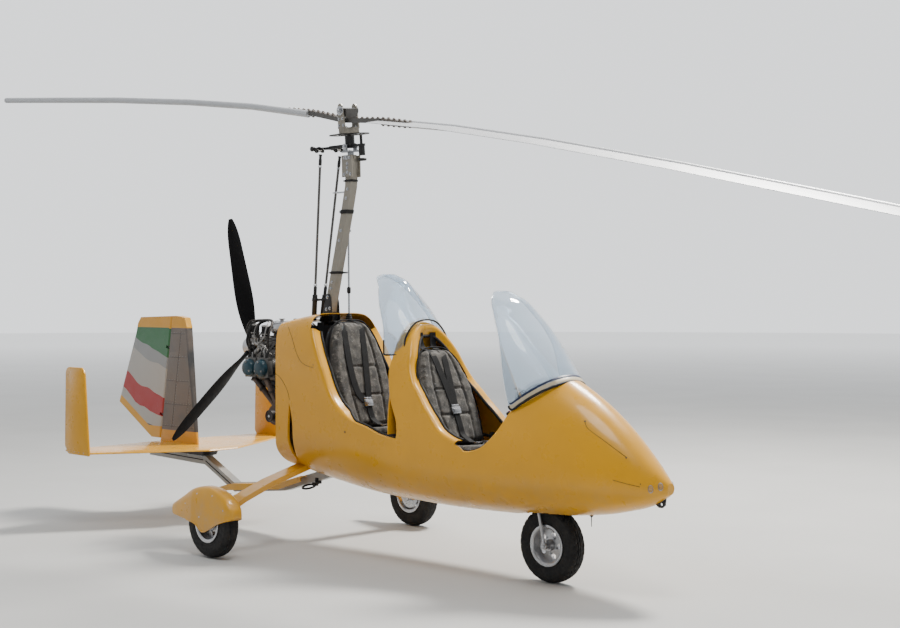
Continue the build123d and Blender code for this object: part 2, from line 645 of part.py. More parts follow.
CROSSBAR = -236.0
with BuildPart() as pitch_block:
    with BuildSketch(head.offset(PITCH_UP - 10)):
        Rectangle(52, 58)
    extrude(amount=24)
    # rotor bearing housing
    with BuildSketch(head.offset(PITCH_UP + 14)):
        Circle(30)
    extrude(amount=50)
    with BuildSketch(pitch_pin.offset(-50)):
        Circle(PIN_R)
    extrude(amount=100)
    # arm aft to the control crossbar
    with BuildSketch(head.offset(PITCH_UP - 4)):
        with Locations((CROSSBAR / 2, 0)):
            Rectangle(-CROSSBAR, 34)
        with Locations((CROSSBAR, 0)):
            Rectangle(20, 210)
    extrude(amount=16)
    # arm forward to the pre-rotation drive under the ring gear
    with BuildSketch(head.offset(PITCH_UP - 4)):
        with Locations((54, 0)):
            Rectangle(108, 30)
        with Locations((104, 0)):
            Circle(24)
    extrude(amount=14)
    with BuildSketch(head.offset(PITCH_UP - 62)):
        with Locations((104, 0)):
            Circle(20)
    extrude(amount=60)
    with BuildSketch(head.offset(PITCH_UP + 10)):
        with Locations((104, 0)):
            Circle(9)
    extrude(amount=52)
    with BuildSketch(head.offset(PITCH_UP + 8)):
        Circle(10 + RUN)
    extrude(amount=80, mode=Mode.SUBTRACT)
pitch_block.part.label = "head_pitch_block"
export_step(pitch_block.part, "parts/head_pitch_block.step")

RING_UP = PITCH_UP + 71
with BuildPart() as ring_gear:
    with BuildSketch(head.offset(RING_UP)):
        Circle(125)
        Circle(60, mode=Mode.SUBTRACT)
        with PolarLocations(0, 4):
            with Locations((44, 0)):
                Rectangle(44, 16)
        Circle(30)
    extrude(amount=6)
    with BuildSketch(head.offset(PITCH_UP + 8.5)):
        Circle(10)
    extrude(amount=RING_UP - PITCH_UP - 8.5)
ring_gear.part.label = "ring_gear"
export_step(ring_gear.part, "parts/ring_gear.step")

CHEEK_Y = 54.0
with BuildPart() as rotor_towers:
    with BuildSketch(head.offset(RING_UP + 6)):
        RectangleRounded(64, 2 * (CHEEK_Y + 8), 10)
    extrude(amount=40)
    for y in (-CHEEK_Y - 8, CHEEK_Y):
        with BuildSketch(Plane(origin=head_origin + pitch_y * (y + 8), x_dir=(1, 0, 0), z_dir=-pitch_y)):
            with BuildLine():
                Polyline((-32, RING_UP + 40), (32, RING_UP + 40), (20, BOLT_UP + 30), (8, BOLT_UP + 44), (-8, BOLT_UP + 44), (-20, BOLT_UP + 30), close=True)
            make_face()
        extrude(amount=8)
    with BuildSketch(bolt_pin.offset(-CHEEK_Y - 18)):
        Circle(BOLT_R)
    extrude(amount=2 * (CHEEK_Y + 18))
rotor_towers.part.label = "rotor_towers"
export_step(rotor_towers.part, "parts/rotor_towers.step")

# ---- rotor: hub bar and two blades, columns: radius, height over the bar's middle, thickness ----
BLADE = [(330, 14, 26), (900, 22, 24), (1600, 3, 24), (2500, -42, 24), (3350, -98, 24), (ROTOR_R, -150, 22)]
BLADE_PITCH = 0.5        # nose-up setting of the blades, degrees
with BuildPart() as hub_bar:
    with BuildSketch(Plane(origin=bolt_origin, x_dir=blade_x, z_dir=-pitch_y)):
        with BuildLine():
            Polyline((0, 14 - BAR_DOWN), (330, 36 - BAR_DOWN), (330, 10 - BAR_DOWN), (0, -14 - BAR_DOWN), (-330, 10 - BAR_DOWN), (-330, 36 - BAR_DOWN), close=True)
        make_face()
    extrude(amount=36, both=True)
    with BuildSketch(blades.offset(-BAR_DOWN)):
        Rectangle(80, 96)
    extrude(amount=BAR_DOWN + 16)
    with BuildSketch(bolt_pin.offset(-60)):
        Circle(BOLT_R + RUN)
    extrude(amount=120, mode=Mode.SUBTRACT)
hub_bar.part.label = "hub_bar"
export_step(hub_bar.part, "parts/hub_bar.step")

p = math.radians(BLADE_PITCH)
for name, sign in (("forward_blade", 1), ("aft_blade", -1)):
    lead = pitch_y * (sign * math.cos(p)) + blade_z * math.sin(p)
    with BuildPart() as blade:
        for r, rise, thick in BLADE:
            with BuildSketch(Plane(origin=bolt_origin + blade_x * (sign * r) + blade_z * (rise - BAR_DOWN), x_dir=lead, z_dir=blade_x * sign)):
                with BuildLine():
                    Line((-CHORD * 0.72, -1.2), (-CHORD * 0.72, 1.2))
                    ThreePointArc((-CHORD * 0.72, 1.2), (-CHORD * 0.32, thick * 0.36), (CHORD * 0.08, thick * 0.55))
                    ThreePointArc((CHORD * 0.08, thick * 0.55), (CHORD * 0.28, 0.5), (CHORD * 0.08, -thick * 0.45))
                    ThreePointArc((CHORD * 0.08, -thick * 0.45), (-CHORD * 0.32, -thick * 0.3), (-CHORD * 0.72, -1.2))
                make_face()
        loft(ruled=True)
    blade.part.label = name
    export_step(blade.part, "parts/" + name + ".step")

# ---- control rods beside the mast, they slide with the head's pitch ----
ROD_TOP, ROD_FOOT = (66.0, 80.0, 2440.0), (-36.0, 40.0, 1550.0)
with BuildPart() as control_rods:
    for sign in (-1, 1):
        top = Vector(st(ROD_TOP[0]), sign * ROD_TOP[1], ROD_TOP[2])
        foot = Vector(st(ROD_FOOT[0]), sign * ROD_FOOT[1], ROD_FOOT[2])
        way = (top - foot).normalized()
        with BuildSketch(Plane(origin=foot, z_dir=way)):
            Circle(8)
        extrude(amount=(top - foot).length)
control_rods.part.label = "control_rods"
export_step(control_rods.part, "parts/control_rods.step")

with BuildPart() as drive_shaft:
    low, high = Vector(st(196), 42, 1432), Vector(st(190), 42, 1990)
    with BuildSketch(Plane(origin=low, z_dir=high - low)):
        Circle(6)
    extrude(amount=(high - low).length)
drive_shaft.part.label = "prerotator_shaft"
export_step(drive_shaft.part, "parts/prerotator_shaft.step")

# ---- engine ----
with BuildPart() as engine_block:
    with BuildSketch(Plane.XY.offset(1000)):
        with Locations((st(-420), 0)):
            Rectangle(330, 190)
    extrude(amount=210)
    fillet(engine_block.edges().filter_by(Axis.X), 30)
engine_block.part.label = "engine_block"
export_step(engine_block.part, "parts/engine_block.step")

with BuildPart() as cylinders:
    for sign in (-1, 1):
        with BuildSketch(Plane.XZ.offset(-sign * 95)):
            with Locations((st(-326), 1100), (st(-450), 1100)):
                Circle(56)
        extrude(amount=-sign * 95)
        with BuildSketch(Plane.XZ.offset(-sign * 190)):
            with Locations((st(-388), 1096)):
                RectangleRounded(256, 128, 30)
        extrude(amount=-sign * 45)
        with BuildSketch(Plane.XZ.offset(-sign * 235)):
            with Locations((st(-326), 1094), (st(-450), 1094)):
                Circle(58)
        extrude(amount=-sign * 38, taper=12)
cylinders.part.label = "engine_cylinders"
export_step(cylinders.part, "parts/engine_cylinders.step")

with BuildPart() as gearbox:
    with BuildSketch(Plane.YZ.offset(st(-585))):
        with Locations((0, 1160)):
            RectangleRounded(170, 230, 60)
    extrude(amount=-70)
    with BuildSketch(Plane.YZ.offset(st(-655))):
        with Locations((0, PROP_Z)):
            Circle(52)
    extrude(amount=-35)
    with BuildSketch(Plane.YZ.offset(st(-655))):
        with Locations((0, PROP_Z)):
            Circle(14)
    extrude(amount=-58)
gearbox.part.label = "reduction_gearbox"
export_step(gearbox.part, "parts/reduction_gearbox.step")

with BuildPart() as intakes:
    with BuildSketch(Plane.XY.offset(1212)):
        with Locations((st(-420), 0)):
            RectangleRounded(240, 150, 30)
    extrude(amount=110)
    for sign in (-1, 1):
        with BuildSketch(Plane.XY.offset(1164)):
            with Locations((st(-400), sign * 190)):
                Circle(30)
        extrude(amount=120)
        with BuildSketch(Plane.XY.offset(1284)):
            with Locations((st(-400), sign * 180)):
                RectangleRounded(220, 90, 30)
        extrude(amount=124)
intakes.part.label = "intake_boxes"
export_step(intakes.part, "parts/intake_boxes.step")

with BuildPart() as exhaust:
    with BuildSketch(Plane.XZ.offset(-190)):
        with Locations((st(-262), 796)):
            Circle(62)
    extrude(amount=380)
    for sign in (-1, 1):
        for x in (-326, -450):
            top, foot = Vector(st(x), sign * 205, 1033), Vector(st(-276), sign * 130, 815)
            with BuildSketch(Plane(origin=foot, z_dir=top - foot)):
                Circle(19)
            extrude(amount=(top - foot).length)
    with BuildSketch(Plane.XZ.offset(190)):
        with Locations((st(-248), 792)):
            Circle(34)
    extrude(amount=50)
    add(cylinders.part, mode=Mode.SUBTRACT)
exhaust.part.label = "exhaust"
export_step(exhaust.part, "parts/exhaust.step")

with BuildPart() as engine_mount:
    for sign in (-1, 1):
        for low, high in (((-60, 60, 900), (-560, 75, 985)), ((-60, 60, 620), (-340, 75, 955)), ((-60, 60, 1240), (-270, 75, 1150))):
            p, q = Vector(st(low[0]), sign * low[1], low[2]), Vector(st(high[0]), sign * high[1], high[2])
            with BuildSketch(Plane(origin=p, z_dir=q - p)):
                Circle(13)
            extrude(amount=(q - p).length)
    with BuildSketch(Plane.XY.offset(975)):
        with Locations((st(-420), 75), (st(-420), -75)):
            Rectangle(300, 26)
    extrude(amount=25)
    add(engine_block.part, mode=Mode.SUBTRACT)
    add(exhaust.part, mode=Mode.SUBTRACT)
    add(firewall.part, mode=Mode.SUBTRACT)
engine_mount.part.label = "engine_mount"
export_step(engine_mount.part, "parts/engine_mount.step")

# ---- propeller ----
prop_face = Plane.YZ.offset(st(PROP_ST))
prop_axis = Axis((st(PROP_ST), 0, PROP_Z), (1, 0, 0))
with BuildPart() as prop_hub:
    with BuildSketch(prop_face.offset(-32)):
        with Locations((0, PROP_Z)):
            Circle(62)
    extrude(amount=60)
    with BuildSketch(prop_face.offset(-40)):
        with Locations((0, PROP_Z)):
            Circle(46)
    extrude(amount=8)
    with BuildSketch(prop_face.offset(-50)):
        with Locations((0, PROP_Z)):
            Circle(14 + RUN)
    extrude(amount=90, mode=Mode.SUBTRACT)
    with BuildSketch(prop_face.offset(-50)):
        with Locations((0, PROP_Z)):
            with PolarLocations(30, 6):
                Circle(4)
    extrude(amount=90, mode=Mode.SUBTRACT)
prop_hub.part.label = "propeller_hub"
export_step(prop_hub.part, "parts/propeller_hub.step")

# columns: radius, chord, thickness, blade angle
PROP = [(60, 52, 34, 62), (150, 86, 24, 44), (380, 118, 15, 26), (640, 96, 9, 18), (800, 66, 6, 15), (PROP_R, 26, 4, 13)]
with BuildPart() as prop_blade:
    for r, chord, thick, angle in PROP:
        b = math.radians(angle)
        with BuildSketch(Plane(origin=(st(PROP_ST), 0, PROP_Z + r), x_dir=(math.sin(b), math.cos(b), 0), z_dir=(0, 0, 1))):
            with BuildLine():
                ThreePointArc((-chord / 2, 0), (0, thick / 2), (chord / 2, 0))
                ThreePointArc((chord / 2, 0), (0, -thick / 2), (-chord / 2, 0))
            make_face()
    loft()
turned = [prop_blade.part.rotate(prop_axis, PROP_TURN + 120 * k) for k in range(3)]
with BuildPart() as prop_blades:
    for one in turned:
        add(one)
    add(prop_hub.part, mode=Mode.SUBTRACT)
prop_blades.part.label = "propeller_blades"
export_step(prop_blades.part, "parts/propeller_blades.step")

# ---- tail ----
STAB_Z, STAB_T = 490.0, 26.0
# columns: side offset, station of the leading edge, of the trailing edge
STAB = [(0, -1040, -1815), (120, -1040, -1808), (800, -1440, -1755)]
with BuildPart() as stabilizer:
    for (y0, a0, b0), (y1, a1, b1) in zip(STAB, STAB[1:]):
        with BuildPart(mode=Mode.PRIVATE) as bay:
            for y, a, b in ((y0, a0, b0), (y1, a1, b1)):
                with BuildSketch(Plane.XZ.offset(-y)):
                    with BuildLine():
                        Polyline(side([(a, 503), (a - 8, 511), (a - 70, STAB_Z + STAB_T), (b + 40, STAB_Z + STAB_T), (b, 510), (b, 504), (b + 60, STAB_Z), (a - 130, STAB_Z), (a - 8, 499)]), close=True)
                    make_face()
            loft(ruled=True)
        add(bay.part)
    mirror(about=Plane.XZ)
stabilizer.part.label = "stabilizer"
export_step(stabilizer.part, "parts/stabilizer.step")

END_FIN = [(-1439, 488), (-1492, 1040), (-1519, 1077), (-1724, 1077), (-1738, 540), (-1697, 488)]
with BuildPart() as end_fins:
    for y in (816, -800):
        with BuildSketch(Plane.XZ.offset(-y)):
            with BuildLine():
                Polyline(side(END_FIN), close=True)
            make_face()
        extrude(amount=16)
end_fins.part.label = "end_fins"
export_step(end_fins.part, "parts/end_fins.step")

with BuildPart() as tail_bracket:
    with BuildSketch(Plane.XZ):
        with BuildLine():
            Polyline(side([(-1215, 452), (-1190, 490), (-1640, 490), (-1640, 458)]), close=True)
        make_face()
    extrude(amount=62, both=True)
    add(keel.part, mode=Mode.SUBTRACT)
tail_bracket.part.label = "tail_bracket"
export_step(tail_bracket.part, "parts/tail_bracket.step")

# fin and rudder share the hinge line; sections square to it, lengths measured along it
hx, hz = st(HINGE_BOTTOM[0]), HINGE_BOTTOM[1]
rise = Vector(HINGE_TOP[0] - HINGE_BOTTOM[0], 0, HINGE_TOP[1] - HINGE_BOTTOM[1])
hinge_z = rise.normalized()
hinge = Plane(origin=(hx, 0, hz), x_dir=(hinge_z.Z, 0, -hinge_z.X), z_dir=hinge_z)
NOSE_R, GAP, HINGE_R = 22.0, 8.0, 5.0
HINGES = (150, 640)
with BuildPart() as fin:
    for along in (-80, rise.length + 40):
        with BuildSketch(hinge.offset(along)):
            with BuildLine():
                Line((NOSE_R + GAP, -26), (NOSE_R + GAP, 26))
                ThreePointArc((NOSE_R + GAP, 26), (250, 22), (470, 3))
                Line((470, 3), (470, -3))
                ThreePointArc((470, -3), (250, -22), (NOSE_R + GAP, -26))
            make_face()
    loft(ruled=True)
    with BuildSketch(Plane.XZ):
        with BuildLine():
            Polyline(side([(-1700, STAB_Z + STAB_T), (-1345, STAB_Z + STAB_T), (-1446, 1340), (-1470, 1404), (-1560, 1416), (-1650, 1416), (-1900, STAB_Z + STAB_T)]), close=True)
        make_face()
    extrude(amount=60, both=True, mode=Mode.INTERSECT)
    # hinge lugs on the aft face, each with a pin into the rudder
    for along in HINGES:
        with BuildSketch(hinge.offset(along - 4)):
            with Locations((16, 0)):
                Rectangle(56, 20)
        extrude(amount=8)
        with BuildSketch(hinge.offset(along - 34)):
            Circle(HINGE_R)
        extrude(amount=68)
fin.part.label = "fin"
export_step(fin.part, "parts/fin.step")

with BuildPart() as rudder:
    for along in (-200, rise.length + 60):
        with BuildSketch(hinge.offset(along)):
            with BuildLine():
                ThreePointArc((0, NOSE_R), (NOSE_R, 0), (0, -NOSE_R))
                Line((0, -NOSE_R), (-640, -2))
                Line((-640, -2), (-640, 2))
                Line((-640, 2), (0, NOSE_R))
            make_face()
    loft(ruled=True)
    with BuildSketch(Plane.XZ):
        with BuildLine():
            Polyline(side([(-1600, 1416), (-2040, 1404), (-2080, 1360), (-2100, 1293), (-2336, 771), (-1894, 536), (-1740, 536)]), close=True)
        make_face()
    extrude(amount=60, both=True, mode=Mode.INTERSECT)
    for along in HINGES:
        with BuildSketch(hinge.offset(along - 10)):
            with Locations((10, 0)):
                Rectangle(60, 80)
        extrude(amount=20, mode=Mode.SUBTRACT)
        with BuildSketch(hinge.offset(along - 40)):
            Circle(HINGE_R + RUN)
        extrude(amount=80, mode=Mode.SUBTRACT)
rudder.part.label = "rudder"
export_step(rudder.part, "parts/rudder.step")

# ---- cockpit controls and small fittings ----
# sticks: station at the floor, station and height of the bend, of the top
STICKS = [(1700, 1665, 640, 1615, 800), (935, 915, 640, 865, 820)]
with BuildPart() as sticks:
    for x0, x1, z1, x2, z2 in STICKS:
        with BuildLine() as way:
            Polyline((st(x0), 0, 478), (st(x1), 0, z1), (st(x2), 0, z2))
        with BuildSketch(Plane(origin=(st(x0), 0, 478), z_dir=(x1 - x0, 0, z1 - 478))):
            Circle(10)
        sweep(path=way.line, transition=Transition.RIGHT)
        with BuildSketch(Plane(origin=(st(x2), 0, z2), z_dir=(x2 - x1, 0, z2 - z1))):
            Circle(17)
        extrude(amount=110)
sticks.part.label = "control_sticks"
export_step(sticks.part, "parts/control_sticks.step")

with BuildPart() as pedals:
    for y in (-95, 95):
        with BuildSketch(Plane.XZ.offset(-y - 40)):
            with BuildLine():
                Polyline(side([(1975, 480), (1990, 480), (2020, 620), (2040, 690), (2028, 694), (2006, 622)]), close=True)
            make_face()
        extrude(amount=80)
pedals.part.label = "rudder_pedals"
export_step(pedals.part, "parts/rudder_pedals.step")

with BuildPart() as tow_eye:
    with BuildSketch(Plane.XZ):
        with BuildLine():
            Polyline(side([(2560, 505), (2600, 540), (2640, 540), (2634, 492), (2618, 478), (2596, 478)]), close=True)
        make_face()
        with Locations((st(2612), 496)):
            Circle(8, mode=Mode.SUBTRACT)
    extrude(amount=5, both=True)
    add(pod_outer.part, mode=Mode.SUBTRACT)
tow_eye.part.label = "tow_eye"
export_step(tow_eye.part, "parts/tow_eye.step")

print("roll pin", tuple(head_origin), "pitch pin", tuple(pitch_pin.origin), "bolt", tuple(bolt_origin))
print("shaft", tuple(shaft_z), "pitch_y", tuple(pitch_y), "hinge", (hx, hz), tuple(hinge_z), "steer", tuple(steer.z_dir))
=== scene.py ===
import math
import random

import bmesh
import bpy
import numpy as np
from mathutils import Matrix, Vector


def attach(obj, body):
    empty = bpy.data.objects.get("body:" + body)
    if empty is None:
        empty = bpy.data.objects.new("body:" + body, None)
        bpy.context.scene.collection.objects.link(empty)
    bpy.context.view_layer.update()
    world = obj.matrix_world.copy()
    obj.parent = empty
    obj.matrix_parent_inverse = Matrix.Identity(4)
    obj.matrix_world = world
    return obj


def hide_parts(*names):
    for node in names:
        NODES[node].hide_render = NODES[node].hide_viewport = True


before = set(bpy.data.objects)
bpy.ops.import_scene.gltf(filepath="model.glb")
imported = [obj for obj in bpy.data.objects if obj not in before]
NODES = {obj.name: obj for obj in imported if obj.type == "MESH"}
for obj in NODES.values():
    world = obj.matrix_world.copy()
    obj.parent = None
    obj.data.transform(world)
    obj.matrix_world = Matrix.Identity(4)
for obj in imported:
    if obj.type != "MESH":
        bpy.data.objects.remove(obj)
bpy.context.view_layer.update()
AX = -0.22793          # X of the main gear leg
MAIN = -35.0           # station of the main axle
NOSE = 1890.0          # station of the nose wheel's axle
random.seed(7)


def X(station):
    """X in metres of a station in millimetres ahead of the main axle."""
    return station / 1000.0 + AX


def P(station, y, z):
    return Vector((X(station), y / 1000.0, z / 1000.0))


# ---------------------------------------------------------------- camera, floor, light
def camera():
    data = bpy.data.cameras.new("photo_camera")
    data.sensor_width = 36.0
    data.lens = 1407.18 / 900.0 * 36.0
    data.clip_start, data.clip_end = 0.1, 200.0
    cam = bpy.data.objects.new("photo_camera", data)
    bpy.context.scene.collection.objects.link(cam)
    yaw, pitch = math.radians(134.26), math.radians(-0.55)
    look = Vector((math.cos(yaw) * math.cos(pitch), math.sin(yaw) * math.cos(pitch), math.sin(pitch)))
    cam.rotation_euler = look.to_track_quat("-Z", "Y").to_euler()
    cam.location = (6.797 + AX, -5.8265, 1.5254)
    bpy.context.scene.camera = cam


camera()


def area(name, at, to, size, energy, colour=(1, 1, 1)):
    data = bpy.data.lights.new(name, "AREA")
    data.shape, data.size, data.energy, data.color = "DISK", size, energy, colour
    lamp = bpy.data.objects.new(name, data)
    bpy.context.scene.collection.objects.link(lamp)
    lamp.location = at
    lamp.rotation_euler = (Vector(to) - Vector(at)).to_track_quat("-Z", "Y").to_euler()


area("key", (0.8, 5.0, 8.5), (0.5, 0, 0.9), 2.2, 1650, (1.0, 0.965, 0.9))
area("front_soft", (9.0, -3.0, 3.5), (0.8, 0, 1.0), 4.0, 36, (0.95, 0.98, 1.0))
area("side_soft", (-1.0, -8.0, 3.0), (0.0, 0, 1.0), 5.0, 12, (0.98, 0.98, 1.0))
area("high_soft", (3.5, -2.5, 8.0), (1.2, 0, 0.8), 3.0, 270, (1.0, 0.98, 0.94))

world = bpy.data.worlds.new("studio")
bpy.context.scene.world = world
world.use_nodes = True
world.node_tree.nodes["Background"].inputs["Color"].default_value = (0.86, 0.88, 0.90, 1)
w_nodes, w_links = world.node_tree.nodes, world.node_tree.links
w_dir = w_nodes.new("ShaderNodeTexCoord")
w_dot = w_nodes.new("ShaderNodeVectorMath")
w_dot.operation = "DOT_PRODUCT"
w_dot.inputs[1].default_value = (-0.70, 0.70, 0.12)
w_map = w_nodes.new("ShaderNodeMapRange")
w_map.inputs["From Min"].default_value, w_map.inputs["From Max"].default_value = -0.6, 0.95
w_map.inputs["To Min"].default_value, w_map.inputs["To Max"].default_value = 0.26, 1.75
w_links.new(w_dir.outputs["Generated"], w_dot.inputs[0])
w_links.new(w_dot.outputs["Value"], w_map.inputs["Value"])
w_links.new(w_map.outputs["Result"], w_nodes["Background"].inputs["Strength"])


# ---------------------------------------------------------------- materials
def tree(name):
    m = bpy.data.materials.new(name)
    m.use_nodes = True
    nt = m.node_tree
    b = nt.nodes["Principled BSDF"]
    c = nt.nodes.new("ShaderNodeTexCoord")
    return m, nt, b, c.outputs["Object"]


def noise(nt, vec, scale, detail=4.0, rough=0.55, stretch=None):
    if stretch:
        mp = nt.nodes.new("ShaderNodeMapping")
        mp.inputs["Scale"].default_value = stretch
        nt.links.new(vec, mp.inputs["Vector"])
        vec = mp.outputs["Vector"]
    n = nt.nodes.new("ShaderNodeTexNoise")
    n.inputs["Scale"].default_value = scale
    n.inputs["Detail"].default_value = detail
    n.inputs["Roughness"].default_value = rough
    nt.links.new(vec, n.inputs["Vector"])
    return n.outputs["Fac"]


def ramp(nt, fac, stops, mode="LINEAR"):
    r = nt.nodes.new("ShaderNodeValToRGB")
    r.color_ramp.interpolation = mode
    e = r.color_ramp.elements
    while len(e) < len(stops):
        e.new(0.5)
    for el, (p, col) in zip(e, stops):
        el.position = p
        el.color = (*col, 1) if len(col) == 3 else col
    nt.links.new(fac, r.inputs["Fac"])
    return r.outputs["Color"]


def span(nt, fac, lo, hi, a=0.3, b=0.7):
    m = nt.nodes.new("ShaderNodeMapRange")
    m.inputs["From Min"].default_value, m.inputs["From Max"].default_value = a, b
    m.inputs["To Min"].default_value, m.inputs["To Max"].default_value = lo, hi
    nt.links.new(fac, m.inputs["Value"])
    return m.outputs["Result"]


def math_node(nt, op, a, b=None, c=None, clamp=False):
    m = nt.nodes.new("ShaderNodeMath")
    m.operation, m.use_clamp = op, clamp
    for i, v in enumerate((a, b, c)):
        if v is None:
            continue
        if isinstance(v, (int, float)):
            m.inputs[i].default_value = v
        else:
            nt.links.new(v, m.inputs[i])
    return m.outputs[0]


def mix(nt, fac, a, b, mode="MIX"):
    m = nt.nodes.new("ShaderNodeMix")
    m.data_type, m.blend_type = "RGBA", mode
    if isinstance(fac, (int, float)):
        m.inputs["Factor"].default_value = fac
    else:
        nt.links.new(fac, m.inputs["Factor"])
    for socket, v in ((m.inputs[6], a), (m.inputs[7], b)):
        if isinstance(v, tuple):
            socket.default_value = (*v, 1)
        else:
            nt.links.new(v, socket)
    return m.outputs[2]


def bump(nt, b, parts):
    """parts: (height socket, strength, distance in metres), chained onto the shader's normal."""
    last = None
    for height, strength, dist in parts:
        n = nt.nodes.new("ShaderNodeBump")
        n.inputs["Strength"].default_value = strength
        n.inputs["Distance"].default_value = dist
        nt.links.new(height, n.inputs["Height"])
        if last is not None:
            nt.links.new(last, n.inputs["Normal"])
        last = n.outputs["Normal"]
    nt.links.new(last, b.inputs["Normal"])


def xyz(nt, vec):
    s = nt.nodes.new("ShaderNodeSeparateXYZ")
    nt.links.new(vec, s.inputs[0])
    return s.outputs


def tone(c, k):
    return tuple(min(1.0, v * k) for v in c)


def tint_low_down(nt, vec, colour, low_tint, low, high):
    """A mottled brownish darkening that grows towards the bottom, from height low (all) to high (none)."""
    z = xyz(nt, vec)[2]
    fall = span(nt, z, 1.0, 0.0, low, high)
    n = noise(nt, vec, 9.0, 6.0, 0.7)
    f = math_node(nt, "MULTIPLY", fall, span(nt, n, 0.0, 0.55, 0.42, 0.72), clamp=True)
    return mix(nt, f, colour, low_tint)


def paint(name, col, rough=(0.2, 0.34), coat=0.5, var=0.06, brown_tint=None):
    m, nt, b, v = tree(name)
    big = noise(nt, v, 2.2, 4.0)
    colour = ramp(nt, big, [(0.3, tone(col, 1 - var)), (0.7, tone(col, 1 + var))])
    fleck = noise(nt, v, 900.0, 2.0)
    colour = mix(nt, span(nt, fleck, 0.0, 0.10, 0.5, 0.75), colour, tone(col, 0.72))
    streak = noise(nt, v, 7.0, 6.0, 0.65, (1.0, 1.0, 0.22))
    colour = mix(nt, span(nt, streak, 0.0, 0.16, 0.55, 0.8), colour, tone(col, 0.62))
    # the paint turns darker and browner towards the bottom, in mottled patches
    if brown_tint:
        colour = tint_low_down(nt, v, colour, (0.30, 0.25, 0.18), *brown_tint)
    nt.links.new(colour, b.inputs["Base Color"])
    nt.links.new(span(nt, noise(nt, v, 14.0, 5.0), rough[0], rough[1]), b.inputs["Roughness"])
    b.inputs["Coat Weight"].default_value = coat
    b.inputs["Coat Roughness"].default_value = 0.06
    b.inputs["Specular IOR Level"].default_value = 0.35
    bump(nt, b, [(noise(nt, v, 6.0, 2.0), 0.10, 0.004), (noise(nt, v, 420.0, 2.0), 0.05, 0.0004)])
    return m


def metal(name, col, rough=(0.25, 0.45), brushed=None, metallic=1.0, var=0.12, scratch=0.15):
    m, nt, b, v = tree(name)
    n = noise(nt, v, 18.0, 6.0, 0.6)
    colour = ramp(nt, n, [(0.25, tone(col, 1 - var)), (0.75, tone(col, 1 + var))])
    stain = noise(nt, v, 45.0, 6.0, 0.7)
    colour = mix(nt, span(nt, stain, 0.0, 0.35, 0.58, 0.82), colour, tone(col, 0.45))
    nt.links.new(colour, b.inputs["Base Color"])
    grain = noise(nt, v, 60.0, 3.0, 0.5, brushed or (1, 1, 1))
    nt.links.new(span(nt, grain, rough[0], rough[1]), b.inputs["Roughness"])
    b.inputs["Metallic"].default_value = metallic
    bump(nt, b, [(grain, scratch, 0.0006), (noise(nt, v, 700.0, 2.0), 0.06, 0.0003)])
    return m


def plastic(name, col, rough=(0.4, 0.6), grain=600.0, depth=0.25, var=0.15, spec=0.5):
    m, nt, b, v = tree(name)
    colour = ramp(nt, noise(nt, v, 25.0, 5.0), [(0.3, tone(col, 1 - var)), (0.7, tone(col, 1 + var))])
    scuff = noise(nt, v, 80.0, 6.0, 0.75)
    colour = mix(nt, span(nt, scuff, 0.0, 0.18, 0.6, 0.85), colour, tuple(min(1, c * 1.5 + 0.03) for c in col))
    nt.links.new(colour, b.inputs["Base Color"])
    nt.links.new(span(nt, noise(nt, v, 40.0, 4.0), rough[0], rough[1]), b.inputs["Roughness"])
    b.inputs["Specular IOR Level"].default_value = spec
    vor = nt.nodes.new("ShaderNodeTexVoronoi")
    vor.inputs["Scale"].default_value = grain
    nt.links.new(v, vor.inputs["Vector"])
    bump(nt, b, [(vor.outputs["Distance"], depth, 0.0004), (noise(nt, v, 30.0, 3.0), 0.05, 0.002)])
    return m


def weave(nt, vec, pitch, axes=("X", "Z")):
    """Height of a plain weave with a thread pitch in metres, over two of the three axes."""
    s = xyz(nt, vec)
    pick = {"X": s[0], "Y": s[1], "Z": s[2]}
    k = math.pi / pitch
    a = math_node(nt, "SINE", math_node(nt, "MULTIPLY", pick[axes[0]], k))
    b = math_node(nt, "SINE", math_node(nt, "MULTIPLY", pick[axes[1]], k))
    return math_node(nt, "MULTIPLY_ADD", math_node(nt, "MULTIPLY", a, b), 0.5, 0.5)


def cloth(name, col, dark, pitch=0.0014, mottle=None, rough=0.92, sheen=0.35, axes=("Y", "Z")):
    m, nt, b, v = tree(name)
    w = weave(nt, v, pitch, axes)
    colour = mix(nt, w, dark, col)
    if mottle:
        blot = noise(nt, v, mottle[0], 7.0, 0.72)
        colour = mix(nt, span(nt, blot, 0.0, 1.0, 0.40, 0.60), colour, mottle[1])
        vein = noise(nt, v, mottle[0] * 2.6, 5.0, 0.8)
        colour = mix(nt, span(nt, vein, 0.0, 0.8, 0.55, 0.68), colour, mottle[2])
    nt.links.new(colour, b.inputs["Base Color"])
    nt.links.new(span(nt, noise(nt, v, 120.0, 3.0), rough - 0.12, rough), b.inputs["Roughness"])
    b.inputs["Sheen Weight"].default_value = sheen
    b.inputs["Sheen Roughness"].default_value = 0.5
    bump(nt, b, [(noise(nt, v, 34.0, 5.0), 0.35, 0.003), (w, 0.5, 0.0006)])
    return m


